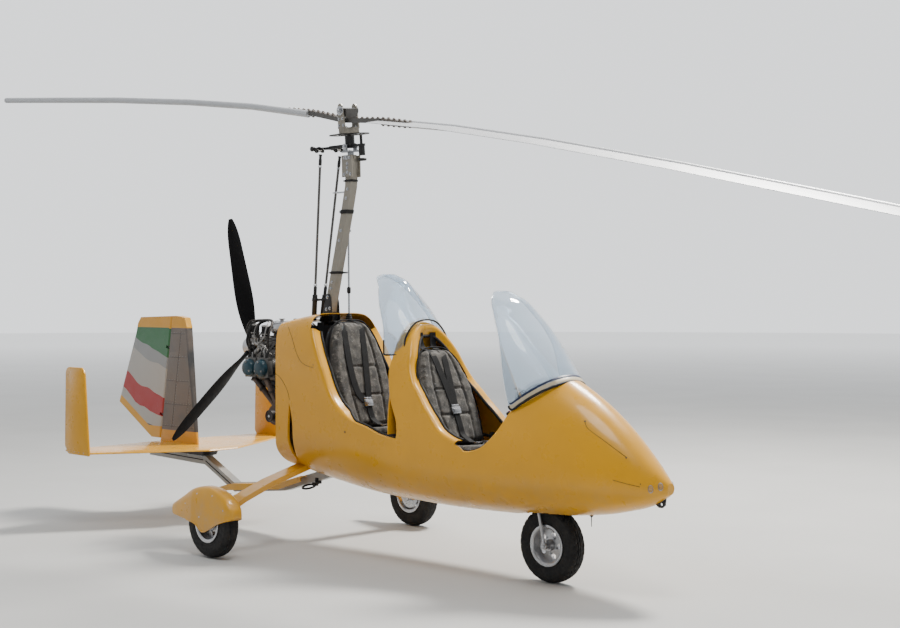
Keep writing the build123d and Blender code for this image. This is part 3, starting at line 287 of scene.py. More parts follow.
def webbing(name, col):
    m, nt, b, v = tree(name)
    s = xyz(nt, v)
    d = math_node(nt, "ADD", s[2], math_node(nt, "MULTIPLY", s[0], 0.6))
    rib = math_node(nt, "SINE", math_node(nt, "MULTIPLY", d, 2200.0))
    cross = math_node(nt, "SINE", math_node(nt, "MULTIPLY", s[1], 2600.0))
    h = math_node(nt, "MULTIPLY_ADD", math_node(nt, "MULTIPLY", rib, cross), 0.5, 0.5)
    colour = mix(nt, h, tone(col, 0.55), col)
    colour = mix(nt, span(nt, noise(nt, v, 60.0, 5.0), 0.0, 0.35, 0.5, 0.75), colour, tuple(c + 0.008 for c in col))
    nt.links.new(colour, b.inputs["Base Color"])
    nt.links.new(span(nt, noise(nt, v, 200.0), 0.65, 0.85), b.inputs["Roughness"])
    b.inputs["Specular IOR Level"].default_value = 0.18
    b.inputs["Sheen Weight"].default_value = 0.03
    bump(nt, b, [(h, 0.6, 0.0005)])
    return m


def rubber(name, col=(0.018, 0.018, 0.019), dusty=0.3):
    m, nt, b, v = tree(name)
    brown_tint = noise(nt, v, 16.0, 6.0, 0.7)
    colour = mix(nt, span(nt, brown_tint, 0.0, dusty, 0.45, 0.75), col, (0.20, 0.175, 0.14))
    nt.links.new(colour, b.inputs["Base Color"])
    nt.links.new(span(nt, noise(nt, v, 60.0, 4.0), 0.6, 0.9), b.inputs["Roughness"])
    b.inputs["Specular IOR Level"].default_value = 0.35
    bump(nt, b, [(noise(nt, v, 500.0, 4.0), 0.35, 0.0006), (noise(nt, v, 40.0, 4.0), 0.2, 0.0015)])
    return m


def glass(name, tint=(0.66, 0.78, 0.88), alpha=0.5, rough=0.02):
    m, nt, b, v = tree(name)
    haze = noise(nt, v, 5.0, 6.0, 0.7)
    nt.links.new(ramp(nt, haze, [(0.3, tone(tint, 0.94)), (0.7, tint)]), b.inputs["Base Color"])
    nt.links.new(span(nt, noise(nt, v, 30.0, 6.0, 0.75), rough, rough + 0.05), b.inputs["Roughness"])
    b.inputs["Transmission Weight"].default_value = 0.86
    b.inputs["IOR"].default_value = 1.46
    b.inputs["Alpha"].default_value = alpha
    bump(nt, b, [(noise(nt, v, 3.0, 2.0), 0.05, 0.004)])
    m.blend_method = "BLEND" if hasattr(m, "blend_method") else None
    return m


YELLOW = (0.66, 0.315, 0.003)
MAT = {
    # both yellows turn darker and browner below the given heights, in metres
    "yellow": paint("gloss_yellow", YELLOW, (0.24, 0.38), 0.22, brown_tint=(0.34, 0.62)),
    "yellow_low": paint("gloss_yellow_low_parts", YELLOW, (0.26, 0.44), 0.3, brown_tint=(0.18, 0.44)),
    "mast": paint("mast_lacquer", (0.235, 0.215, 0.18), (0.34, 0.5), 0.15, 0.10),
    "alu": metal("satin_aluminium", (0.50, 0.50, 0.51), (0.28, 0.45)),
    "alu_dark": metal("dull_aluminium", (0.34, 0.35, 0.37), (0.35, 0.55)),
    "steel": metal("machined_steel", (0.47, 0.48, 0.50), (0.2, 0.38), (1, 1, 5)),
    "blade": metal("blade_skin", (0.50, 0.51, 0.53), (0.34, 0.5), (0.05, 3, 3), 0.55, 0.06, 0.1),
    "black_metal": plastic("black_powder_coat", (0.012, 0.012, 0.013), (0.38, 0.55), 900, 0.12, spec=0.4),
    "black_plastic": plastic("moulded_black_plastic", (0.016, 0.016, 0.017), (0.5, 0.7), 500, 0.3, spec=0.35),
    "carbon": plastic("black_composite_panel", (0.014, 0.014, 0.016), (0.4, 0.6), 320, 0.2, spec=0.35),
    "prop": plastic("propeller_composite", (0.005, 0.005, 0.006), (0.48, 0.64), 1200, 0.06, spec=0.12),
    "cast": metal("cast_engine_metal", (0.135, 0.13, 0.125), (0.45, 0.65), None, 0.85, 0.2, 0.3),
    "teal": paint("teal_rocker_paint", (0.006, 0.034, 0.050), (0.3, 0.45), 0.2, 0.2),
    "strap_metal": metal("bronzed_strap_metal", (0.16, 0.14, 0.125), (0.35, 0.5), None, 0.9, 0.15),
    "steel_dark": metal("dark_phosphate_steel", (0.06, 0.058, 0.055), (0.35, 0.5), None, 0.85, 0.2),
    "pipe_dark": metal("dark_exhaust_steel", (0.055, 0.05, 0.047), (0.45, 0.7), None, 0.9, 0.3, 0.2),
    "engine_bright": metal("bright_cast_metal", (0.30, 0.29, 0.28), (0.3, 0.5), None, 0.95, 0.2, 0.25),
    "rubber": rubber("tyre_rubber", (0.010, 0.010, 0.011), 0.10),
    "hose": rubber("hose_rubber", (0.010, 0.010, 0.011), 0.05),
    "trim_beige": paint("beige_trim", (0.50, 0.42, 0.29), (0.35, 0.5), 0.1, 0.05),
    "trim_blue": paint("blue_trim", (0.012, 0.020, 0.060), (0.35, 0.5), 0.1, 0.05),
    "glass": glass("clear_acrylic", (0.50, 0.68, 0.88), 0.60),
    "seat": cloth("mottled_seat_cloth", (0.125, 0.113, 0.098), (0.055, 0.050, 0.044), 0.0016,
                  (16.0, (0.028, 0.026, 0.024), (0.26, 0.24, 0.21)), sheen=0.12),
    "belt": webbing("black_webbing", (0.006, 0.006, 0.007)),
    "rod_grey": metal("grey_rod", (0.12, 0.115, 0.11), (0.35, 0.5), None, 0.8, 0.12),
    "buckle": metal("bright_buckle", (0.40, 0.40, 0.41), (0.2, 0.35)),
    "grey_strip": plastic("grey_sill_trim", (0.22, 0.22, 0.215), (0.5, 0.7), 350, 0.3),
    "grey_keel": paint("grey_keel_paint", (0.33, 0.325, 0.31), (0.3, 0.5), 0.15, 0.08),
    "pipe_heat": metal("heat_stained_pipe", (0.13, 0.10, 0.085), (0.4, 0.65), None, 1.0, 0.35, 0.2),
    "lamp": glass("lamp_lens", (0.92, 0.95, 0.97), 0.75, 0.08),
    "red_glass": plastic("red_lens", (0.45, 0.02, 0.015), (0.12, 0.2), 200, 0.05),
    "dial": plastic("dial_face", (0.02, 0.02, 0.022), (0.5, 0.7), 300, 0.05),
    "white_mark": plastic("white_marking", (0.75, 0.75, 0.72), (0.5, 0.6), 300, 0.05),
    "beige": plastic("beige_trim", (0.52, 0.42, 0.28), (0.5, 0.7), 350, 0.2),
}


def tail_bands(name, stops, direction, origin, length, extra=None, rivets=False):
    """Paint in broad bands across a tail surface: stops over 0..1 along a direction in the side view, in metres."""
    m, nt, b, v = tree(name)
    s = xyz(nt, v)
    d = math_node(nt, "ADD", math_node(nt, "MULTIPLY", s[0], direction[0] / length), math_node(nt, "MULTIPLY", s[2], direction[1] / length))
    d = math_node(nt, "SUBTRACT", d, (origin[0] * direction[0] + origin[1] * direction[1]) / length)
    wave = noise(nt, v, 2.4, 2.0, 0.4)
    d = math_node(nt, "ADD", d, span(nt, wave, -0.035, 0.035, 0.3, 0.7))
    colour = ramp(nt, d, stops, "CONSTANT")
    if extra:
        colour = extra(nt, v, s, colour)
    wear = noise(nt, v, 30.0, 7.0, 0.75)
    colour = mix(nt, span(nt, wear, 0.0, 0.22, 0.55, 0.8), colour, (0.34, 0.31, 0.27))
    nt.links.new(colour, b.inputs["Base Color"])
    nt.links.new(span(nt, noise(nt, v, 15.0, 5.0), 0.28, 0.5), b.inputs["Roughness"])
    b.inputs["Coat Weight"].default_value = 0.25
    bump(nt, b, [(noise(nt, v, 10.0, 3.0), 0.12, 0.003), (noise(nt, v, 420.0, 2.0), 0.06, 0.0004)])
    return m


# ---------------------------------------------------------------- geometry
class Geo:
    """Collects several shapes into one mesh."""

    def __init__(self):
        self.v, self.f = [], []

    def add(self, verts, faces):
        n = len(self.v)
        self.v += [tuple(p) for p in verts]
        self.f += [tuple(i + n for i in f) for f in faces]

    def tube(self, pts, r, segs=12, closed=False, caps=True, flat=None, twist=None):
        """A tube along points; r is a radius or one per point; flat squeezes it across a given up direction."""
        pts = [Vector(p) for p in pts]
        n = len(pts)
        rs = [r] * n if isinstance(r, (int, float)) else list(r)
        up = None
        verts = []
        for i, p in enumerate(pts):
            a = pts[i - 1] if (i > 0 or closed) else pts[0]
            b = pts[(i + 1) % n] if (i < n - 1 or closed) else pts[-1]
            t = (b - a).normalized()
            if flat is not None:
                u = (flat[0] - t * flat[0].dot(t)).normalized()
            elif up is None:
                u = t.orthogonal().normalized()
            else:
                u = (up - t * up.dot(t)).normalized()
            up = u
            w = t.cross(u)
            k = flat[1] if flat is not None else 1.0
            for j in range(segs):
                ang = 2 * math.pi * j / segs
                verts.append(p + u * math.cos(ang) * rs[i] * k + w * math.sin(ang) * rs[i])
        faces = []
        for i in range(n if closed else n - 1):
            for j in range(segs):
                a, b = i * segs + j, i * segs + (j + 1) % segs
                c, d = ((i + 1) % n) * segs + (j + 1) % segs, ((i + 1) % n) * segs + j
                faces.append((a, b, c, d))
        if caps and not closed:
            faces.append(tuple(reversed(range(segs))))
            faces.append(tuple(range((n - 1) * segs, n * segs)))
        self.add(verts, faces)

    def lathe(self, profile, origin, axis, segs=32, start=None):
        """profile: (radius, along); a closed outline turned about the axis."""
        axis = Vector(axis).normalized()
        u = (Vector(start) - axis * Vector(start).dot(axis)).normalized() if start else axis.orthogonal().normalized()
        w = axis.cross(u)
        o = Vector(origin)
        verts, faces = [], []
        n = len(profile)
        for k in range(segs):
            a = 2 * math.pi * k / segs
            d = u * math.cos(a) + w * math.sin(a)
            for r, h in profile:
                verts.append(o + axis * h + d * r)
        for k in range(segs):
            for j in range(n - 1):
                a, b = k * n + j, k * n + j + 1
                c, d = ((k + 1) % segs) * n + j + 1, ((k + 1) % segs) * n + j
                faces.append((a, b, c, d))
        self.add(verts, faces)

    def box(self, centre, size, bevel=0.002, rot=None, segs=2, taper=None):
        bm = bmesh.new()
        bmesh.ops.create_cube(bm, size=1.0)
        for v in bm.verts:
            v.co = Vector((v.co.x * size[0], v.co.y * size[1], v.co.z * size[2]))
            if taper and v.co.z > 0:
                v.co.x *= taper
                v.co.y *= taper
        if bevel:
            bmesh.ops.bevel(bm, geom=bm.edges[:], offset=min(bevel, min(size) * 0.45), segments=segs, profile=0.5, affect="EDGES")
        m = rot.to_4x4() if rot is not None else Matrix.Identity(4)
        m = Matrix.Translation(Vector(centre)) @ m
        bm.verts.ensure_lookup_table()
        self.add([m @ v.co for v in bm.verts], [[v.index for v in f.verts] for f in bm.faces])
        bm.free()

    def bolt(self, at, axis, r=0.006, h=0.005, washer=True):
        axis = Vector(axis).normalized()
        if washer:
            self.lathe([(0.0, 0.0), (r * 1.7, 0.0), (r * 1.75, r * 0.12), (r * 1.7, r * 0.25), (0.0, r * 0.25)], at, axis, 16)
        u = axis.orthogonal().normalized()
        w = axis.cross(u)
        base, mid, top = [], [], []
        o = Vector(at) + axis * r * 0.2
        for k in range(6):
            a = math.pi / 3 * k
            d = u * math.cos(a) + w * math.sin(a)
            base.append(o + d * r)
            mid.append(o + d * r + axis * h * 0.8)
            top.append(o + d * r * 0.84 + axis * h)
        faces = [(k, (k + 1) % 6, 6 + (k + 1) % 6, 6 + k) for k in range(6)]
        faces += [(6 + k, 6 + (k + 1) % 6, 12 + (k + 1) % 6, 12 + k) for k in range(6)]
        faces += [tuple(range(12, 18)), tuple(reversed(range(6)))]
        self.add(base + mid + top, faces)

    def dome(self, at, axis, r=0.003, h=0.0012, segs=8):
        """A low rivet head or screw."""
        self.lathe([(r, 0.0), (r * 0.92, h * 0.55), (r * 0.6, h * 0.9), (0.0001, h)], at, axis, segs)

    def done(self, name, body, mat, slot=None, smooth=35.0, replaces=(), bevel=0.0):
        me = bpy.data.meshes.new(name)
        me.from_pydata([tuple(p) for p in self.v], [], self.f)
        me.validate()
        return piece(me, name, body, mat, smooth, replaces, bevel)


def piece(me, name, body, mat, smooth=35.0, replaces=(), bevel=0.0):
    bm = bmesh.new()
    bm.from_mesh(me)
    bmesh.ops.remove_doubles(bm, verts=bm.verts, dist=1e-6)
    bmesh.ops.recalc_face_normals(bm, faces=bm.faces)
    if bevel:
        sharp = [e for e in bm.edges if e.is_manifold and e.calc_face_angle(0) > math.radians(35)]
        bmesh.ops.bevel(bm, geom=sharp, offset=bevel, segments=2, profile=0.5, affect="EDGES", clamp_overlap=True)
    bm.to_mesh(me)
    bm.free()
    if smooth is not None:
        me.polygons.foreach_set("use_smooth", [True] * len(me.polygons))
        me.update()
        me.set_sharp_from_angle(angle=math.radians(smooth))
    ob = bpy.data.objects.new(name, me)
    bpy.context.scene.collection.objects.link(ob)
    me.materials.append(MAT[mat] if isinstance(mat, str) else mat)
    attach(ob, body)
    if replaces:
        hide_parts(*replaces)
    return ob


def smooth_line(pts, step=0.01, closed=False):
    """Catmull-Rom through points of any dimension, sampled about every step."""
    p = [np.array(q, float) for q in pts]
    n = len(p)
    out = []
    for i in range(n if closed else n - 1):
        a = p[i - 1] if (i > 0 or closed) else 2 * p[0] - p[1]
        b, c = p[i], p[(i + 1) % n]
        d = p[(i + 2) % n] if (i < n - 2 or closed) else 2 * p[-1] - p[-2]
        t0 = 0.0
        t1 = t0 + max(1e-9, np.linalg.norm(b - a)) ** 0.5
        t2 = t1 + max(1e-9, np.linalg.norm(c - b)) ** 0.5
        t3 = t2 + max(1e-9, np.linalg.norm(d - c)) ** 0.5
        k = max(1, int(math.ceil(np.linalg.norm(c - b) / step)))
        for j in range(k):
            t = t1 + (t2 - t1) * j / k
            a1 = (t1 - t) / (t1 - t0) * a + (t - t0) / (t1 - t0) * b
            a2 = (t2 - t) / (t2 - t1) * b + (t - t1) / (t2 - t1) * c
            a3 = (t3 - t) / (t3 - t2) * c + (t - t2) / (t3 - t2) * d
            b1 = (t2 - t) / (t2 - t0) * a1 + (t - t0) / (t2 - t0) * a2
            b2 = (t3 - t) / (t3 - t1) * a2 + (t - t1) / (t3 - t1) * a3
            out.append((t2 - t) / (t2 - t1) * b1 + (t - t1) / (t2 - t1) * b2)
    if not closed:
        out.append(p[-1])
    return [tuple(q) for q in out]


def evaluated(me, mods):
    """A mesh after modifiers; mods is a list of functions that add one to an object."""
    ob = bpy.data.objects.new("tmp", me)
    bpy.context.scene.collection.objects.link(ob)
    keep = [fn(ob) for fn in mods]
    dg = bpy.context.evaluated_depsgraph_get()
    dg.update()
    out = bpy.data.meshes.new_from_object(ob.evaluated_get(dg), depsgraph=dg)
    bpy.data.objects.remove(ob)
    for k in keep:
        if isinstance(k, bpy.types.Object):
            bpy.data.objects.remove(k)
    return out


def cut(me, outline, op):
    """me cut or kept by a prism right through the side view; outline holds (x, z) in metres."""
    pm = bpy.data.meshes.new("prism")
    n = len(outline)
    pm.from_pydata([(x, -0.7, z) for x, z in outline] + [(x, 0.7, z) for x, z in outline], [],
                   [tuple(range(n)), tuple(reversed(range(n, 2 * n)))] + [(i, i + n, (i + 1) % n + n, (i + 1) % n) for i in range(n)])
    bm = bmesh.new()
    bm.from_mesh(pm)
    bmesh.ops.recalc_face_normals(bm, faces=bm.faces)
    bmesh.ops.triangulate(bm, faces=[f for f in bm.faces if len(f.verts) > 4])
    bm.to_mesh(pm)
    bm.free()

    def mod(ob):
        tool = bpy.data.objects.new("tool", pm)
        bpy.context.scene.collection.objects.link(tool)
        m = ob.modifiers.new("b", "BOOLEAN")
        m.operation, m.solver, m.object = op, "EXACT", tool
        return tool

    return evaluated(me, [mod])


# ---- pod surface ----
# columns: station, bottom, height of widest point, top, half width, squareness
POD = np.array([
    (-130, 470, 650, 1392, 283, 10.0), (250, 405, 740, 1455, 312, 4.5), (620, 365, 690, 1440, 322, 2.5),
    (930, 352, 640, 1392, 322, 2.1), (1500, 350, 610, 1215, 315, 2.0), (2080, 384, 600, 1085, 262, 2.0),
    (2400, 436, 590, 868, 178, 2.0), (2590, 498, 580, 684, 92, 2.0), (2668, 548, 578, 606, 30, 2.0)], float)


def hermite(table, x):
    xs = table[:, 0]
    d = np.diff(table[:, 1:], axis=0) / np.diff(xs)[:, None]
    h = np.diff(xs)
    m = np.zeros((len(xs), table.shape[1] - 1))
    m[1:-1] = (h[:-1, None] * d[1:] + h[1:, None] * d[:-1]) / (h[:-1] + h[1:])[:, None]
    m[0], m[-1] = (3 * d[0] - m[1]) / 2, (3 * d[-1] - m[-2]) / 2
    i = int(np.clip(np.searchsorted(xs, x) - 1, 0, len(xs) - 2))
    t = (x - xs[i]) / h[i]
    a, b = table[i, 1:], table[i + 1, 1:]
    return ((1 + 2 * t) * (1 - t) ** 2) * a + t * (1 - t) ** 2 * h[i] * m[i] + t * t * (3 - 2 * t) * b + t * t * (t - 1) * h[i] * m[i + 1]


def pod_row(station):
    return hermite(POD, station)


def resample(pts, n):
    pts = np.array(pts)
    s = np.concatenate([[0], np.cumsum(np.linalg.norm(np.diff(pts, axis=0), axis=1))])
    q = np.linspace(0, s[-1], n)
    return np.stack([np.interp(q, s, pts[:, k]) for k in range(pts.shape[1])], axis=1)


def half_section(station, low=26, up=46):
    bottom, mid, top, half, square = pod_row(station)
    a = np.radians(np.linspace(-90, 0, 60))
    lower = np.stack([half * np.cos(a), mid + (mid - bottom) * np.sin(a)], 1)
    t = np.radians(np.linspace(0, 90, 400))
    c, s = np.clip(np.cos(t), 0, 1), np.clip(np.sin(t), 0, 1)
    upper = np.stack([half * c ** (2 / square), mid + (top - mid) * s ** (2 / square)], 1)
    return np.concatenate([resample(lower, low)[:-1], resample(upper, up)])


def pod_level(station, y, z):
    """Above 1 outside the pod's skin, below 1 inside."""
    bottom, mid, top, half, square = pod_row(station)
    if z < mid:
        return math.sqrt((y / half) ** 2 + ((z - mid) / (mid - bottom)) ** 2)
    return (abs(y / half) ** square + ((z - mid) / (top - mid)) ** square) ** (1 / square)


def pod_normal(p):
    """Outward normal of the pod's skin near a point in metres."""
    s, y, z = (p[0] - AX) * 1000, p[1] * 1000, p[2] * 1000
    s = min(max(s, -129.0), 2667.0)
    e = 1.5
    g = Vector((pod_level(min(s + e, 2667.9), y, z) - pod_level(max(s - e, -129.9), y, z),
                pod_level(s, y + e, z) - pod_level(s, y - e, z),
                pod_level(s, y, z + e) - pod_level(s, y, z - e)))
    return g.normalized()


def pod_side(station, z, sign=-1):
    """The point of the pod's skin at a station and height, on one side."""
    bottom, mid, top, half, square = pod_row(station)
    if z < mid:
        y = half * math.sqrt(max(0.0, 1 - ((z - mid) / (mid - bottom)) ** 2))
    else:
        y = half * max(0.0, 1 - ((z - mid) / (top - mid)) ** square) ** (1 / square)
    return P(station, sign * y, z)


def pod_solid():
    stations = list(np.linspace(-130, 2300, 176)) + list(np.linspace(2314, 2668, 40))
    verts, faces, rings = [], [], []
    for s in stations:
        h = half_section(s)
        ring = [(X(s), y / 1000, z / 1000) for y, z in h] + [(X(s), -y / 1000, z / 1000) for y, z in h[-2:0:-1]]
        rings.append(len(ring))
        verts += ring
    n = rings[0]
    for i in range(len(stations) - 1):
        for j in range(n):
            faces.append((i * n + j, i * n + (j + 1) % n, (i + 1) * n + (j + 1) % n, (i + 1) * n + j))
    faces.append(tuple(range(n)))
    faces.append(tuple(reversed(range((len(stations) - 1) * n, len(stations) * n))))
    me = bpy.data.meshes.new("pod")
    me.from_pydata(verts, [], faces)
    bm = bmesh.new()
    bm.from_mesh(me)
    bmesh.ops.recalc_face_normals(bm, faces=bm.faces)
    bm.to_mesh(me)
    bm.free()
    return me


def m2(pts):
    return [(X(a), b / 1000) for a, b in pts]


SILL = [(196, 1335), (304, 1130), (426, 926), (548, 836), (740, 785), (880, 745), (1420, 705), (1560, 702),
        (1650, 735), (1745, 830), (1812, 938), (1925, 1012), (2056, 1102)]
SILL_OUT = m2([(105, 1700)] + [(130, 1600)] + smooth_line(SILL, 14.0) + [(2066, 1600), (2066, 1700)])
SADDLE_FRONT = [(914, 1387), (984, 1220), (1004, 1150), (1052, 1060), (1105, 1003), (1175, 925),
                (1240, 862), (1315, 790), (1400, 752), (1500, 722), (1540, 680)]
SADDLE_REAR = [(930, 600), (985, 700), (1001, 763), (997, 829), (973, 882), (938, 946), (903, 1043), (882, 1131), (885, 1207)]
SADDLE_OUT = m2([(895, 1430)] + smooth_line(SADDLE_FRONT, 12.0) + smooth_line(SADDLE_REAR, 12.0) + [(880, 1260), (866, 1387), (862, 1430)])
COWL = [(-200, 1068), (-85, 1058), (-28, 1003), (16, 902)]
COWL_LOW = (20, 505)


def arc_through(a, b, c, n=24):
    return smooth_line([a, ((a[0] + b[0] * 3) / 4 + 1, a[1] * 0.5 + b[1] * 0.5), b, ((c[0] + b[0] * 3) / 4 + 1, c[1] * 0.5 + b[1] * 0.5), c], 14.0)


def cowl_outline(middle):
    return m2(smooth_line(COWL, 12.0)[:-1] + arc_through(COWL[-1], middle, COWL_LOW) + [(-200, 478)])


def skin_of(me, keep):
    """Drops a cut solid's flat cut faces, so only the faces for which keep(centre, normal) says yes stay."""
    bm = bmesh.new()
    bm.from_mesh(me)
    drop = [f for f in bm.faces if not keep(f.calc_center_median(), f.normal)]
    bmesh.ops.delete(bm, geom=drop, context="FACES")
    bmesh.ops.delete(bm, geom=[v for v in bm.verts if not v.link_faces], context="VERTS")
    return bm


def on_pod(c, n):
    s = (c[0] - AX) * 1000
    if s > 2667.5 or s < -129.5:
        return s > 2600
    return pod_level(s, c[1] * 1000, c[2] * 1000) > 0.985 and n.dot(pod_normal(c)) > 0.5


def chains(bm):
    """Ordered boundary lines of an open mesh: (points, closed)."""
    edges = {e for e in bm.edges if e.is_boundary}
    out = []
    while edges:
        e = edges.pop()
        line = [e.verts[0], e.verts[1]]
        for end in (1, 0):
            while True:
                v = line[-1] if end else line[0]
                nxt = [k for k in v.link_edges if k in edges]
                if not nxt:
                    break
                k = nxt[0]
                edges.discard(k)
                w = k.other_vert(v)
                if end:
                    line.append(w)
                else:
                    line.insert(0, w)
        closed = line[0] is line[-1]
        pts = [v.co.copy() for v in (line[:-1] if closed else line)]
        out.append((pts, closed))
    return out


def even(pts, step, closed=False):
    p = [np.array(q) for q in pts]
    if closed:
        p.append(p[0])
    p = np.array(p)
    s = np.concatenate([[0], np.cumsum(np.linalg.norm(np.diff(p, axis=0), axis=1))])
    n = max(3, int(s[-1] / step))
    q = np.linspace(0, s[-1], n + 1)
    r = np.stack([np.interp(q, s, p[:, k]) for k in range(3)], 1)
    if closed:
        r = r[:-1]
    for _ in range(2):
        a = np.roll(r, 1, 0)
        b = np.roll(r, -1, 0)
        new = (a + 2 * r + b) / 4
        if not closed:
            new[0], new[-1] = r[0], r[-1]
        r = new
    return [Vector(k) for k in r]


def shell(bm, name, mat, thick=0.004, replaces=(), inner=None):
    me = bpy.data.meshes.new(name)
    bmesh.ops.recalc_face_normals(bm, faces=bm.faces)
    bm.to_mesh(me)
    bm.free()

    def solid(ob):
        m = ob.modifiers.new("s", "SOLIDIFY")
        m.thickness, m.offset, m.use_rim = thick, -1.0, True
        m.material_offset = 1 if inner else 0

    if inner:
        me.materials.append(MAT[mat])
        me.materials.append(MAT[inner])
    out = evaluated(me, [solid])
    ob = piece(out, name, "airframe", mat, 40.0, replaces)
    if inner:
        ob.data.materials.clear()
        ob.data.materials.append(MAT[mat])
        ob.data.materials.append(MAT[inner])
    return ob


def in_outline(x, z, outline):
    inside = False
    n = len(outline)
    for i in range(n):
        (x1, z1), (x2, z2) = outline[i], outline[(i + 1) % n]
        if (z1 > z) != (z2 > z) and x < (x2 - x1) * (z - z1) / (z2 - z1) + x1:
            inside = not inside
    return inside


def lip(geo, pts, closed, outline, size, piping=None, inside=True):
    """A rolled edge along a boundary of the pod's skin. size(point) gives (roll radius, depth inward) in metres.
    outline is the opening in the side view. piping is a Geo that takes a bead along the inner edge."""
    n = len(pts)
    rows, bead = [], []
    for i, p in enumerate(pts):
        a = pts[i - 1] if (i or closed) else pts[0]
        b = pts[(i + 1) % n] if (i < n - 1 or closed) else pts[-1]
        t = (b - a).normalized()
        nor = pod_normal(p)
        nor = (nor - t * nor.dot(t)).normalized()
        d = t.cross(nor).normalized()
        q = p + d * 0.012
        if in_outline(q.x, q.z, outline) != inside:
            d = -d
        r, deep = size(p)
        row = []
        for k in range(9):
            ang = math.pi / 2 * k / 8
            row.append(p + d * r * math.sin(ang) - nor * r * (1 - math.cos(ang)))
        end = p + d * r - nor * (r + deep)
        for k in (0.33, 0.66, 1.0):
            row.append(row[8].lerp(end, k))
        back = [q2 - d * 0.0035 for q2 in row[8:][::-1]] + [row[k] - d * 0.003 - nor * 0.003 for k in range(7, -1, -1)]
        rows.append(row + back)
        bead.append(end + d * 0.001)
    m = len(rows[0])
    faces = []
    for i in range(n if closed else n - 1):
        k = (i + 1) % n
        for j in range(m):
            faces.append((i * m + j, i * m + (j + 1) % m, k * m + (j + 1) % m, k * m + j))
    if not closed:
        faces += [tuple(range(m)), tuple(reversed(range((n - 1) * m, n * m)))]
    geo.add([v for r_ in rows for v in r_], faces)
    if piping is not None:
        piping.tube(bead, 0.0092, 10, closed)
    return bead


def split_runs(pts, closed, test):
    """Longest runs of a chain where test(point) holds, as lists of points."""
    n = len(pts)
    flags = [test(p) for p in pts]
    if all(flags):
        return [(pts, closed)]
    if not any(flags):
        return []
    start = flags.index(False) if closed else 0
    order = [(start + i) % n for i in range(n)] if closed else list(range(n))
    runs, cur = [], []
    for i in order:
        if flags[i]:
            cur.append(pts[i])
        elif cur:
            runs.append(cur)
            cur = []
    if cur:
        runs.append(cur)
    return [(r, False) for r in runs if len(r) > 3]


def build_pod():
    solid = pod_solid()
    tub = cut(solid, SILL_OUT, "DIFFERENCE")
    tub = cut(tub, cowl_outline((58, 700)), "DIFFERENCE")
    belly = m2([(-230, 300), (230, 300), (230, 520), (-230, 520)])
    cowls = cut(solid, cowl_outline((-4, 700)), "INTERSECT")
    saddle = cut(cut(solid, SADDLE_OUT, "INTERSECT"), SILL_OUT, "INTERSECT")

    lips, beads = Geo(), Geo()
    # tub: the mast's hole in the deck and the nose wheel's well are opened in the skin
    bm = skin_of(tub, on_pod)

    def open_here(c):
        s, y, z = (c.x - AX) * 1000, c.y * 1000, c.z * 1000
        if z > 1300 and -62 < s < 118 and abs(y) < 50:
            return True
        if z < 450 and ((s - NOSE + 8) / 215.0) ** 2 + (y / 130.0) ** 2 < 1:
            return True
        return z < 520 and -64 < s < 230 and abs(y) < 48
    for f in [f for f in bm.faces if open_here(f.calc_center_median())]:
        bm.faces.remove(f)
    bmesh.ops.delete(bm, geom=[v for v in bm.verts if not v.link_faces], context="VERTS")
    edges = chains(bm)
    shell(bm, "pod_skin", "yellow", 0.004, ("pod_tub",))

    def st_of(p):
        return (p.x - AX) * 1000

    for pts, closed in edges:
        pts = even(pts, 0.012, closed)
        for run, c in split_runs(pts, closed, lambda p: 100 < st_of(p) < 1830 and p.z > 0.68 and in_ring(p)):
            def size(p):
                s = st_of(p)
                if s < 640:
                    k = min(1.0, max(0.0, (640 - s) / 120.0))
                    return 0.008 + 0.016 * k, 0.016 + 0.034 * k
                return 0.008, 0.016
            lip(lips, run, c, SILL_OUT, size, beads)
        for run, c in split_runs(pts, closed, lambda p: st_of(p) >= 1815 and p.z > 0.93 and in_ring(p)):
            gasket.append(run)
            lip(lips, run, c, SILL_OUT, lambda p: (0.006, 0.012))
        for run, c in split_runs(pts, closed, lambda p: st_of(p) < 70 and 0.5 < p.z < 1.07):
            if not c:
                lip(lips, run, c, cowl_outline((58, 700)), lambda p: (0.005, 0.02))
    bm = skin_of(saddle, on_pod)
    edges = chains(bm)
    shell(bm, "saddle_skin", "yellow", 0.004, ("saddle",))
    for pts, closed in edges:
        pts = even(pts, 0.012, closed)

        def front(p):
            s, z = st_of(p), p.z * 1000
            return s > np.interp(z, [700, 800, 946, 1043, 1131, 1207, 1387], [1060, 1060, 1010, 960, 930, 925, 895]) and z > 735
        for run, c in split_runs(pts, closed, front):
            lip(lips, run, c, SADDLE_OUT, lambda p: (0.026, 0.040), beads, inside=False)
        for run, c in split_runs(pts, closed, lambda p: not front(p) and p.z > 0.79):
            lip(lips, run, c, SADDLE_OUT, lambda p: (0.007, 0.020), beads, inside=False)
    bm = skin_of(cowls, on_pod)
    edges = chains(bm)
    shell(bm, "rear_cowl_skin", "yellow", 0.004, ("rear_cowls",))
    for pts, closed in edges:
        pts = even(pts, 0.012, closed)
        for run, c in split_runs(pts, closed, lambda p: st_of(p) > -126):
            lip(lips, run, c, cowl_outline((-4, 700)), lambda p: (0.004, 0.012), inside=False)
    lips.done("rolled_cockpit_edges", "airframe", "yellow", "yellow_paint", 50)
    beads.done("cockpit_edge_piping", "airframe", "hose", "black_composite", 60)


def in_ring(p):
    """Near the cockpit opening's own edge in the side view."""
    best = min((p.x - x) ** 2 + (p.z - z) ** 2 for x, z in SILL_OUT)
    return best < 0.014 ** 2 or (p.z > 1.0 and best < 0.03 ** 2)


gasket = []
build_pod()

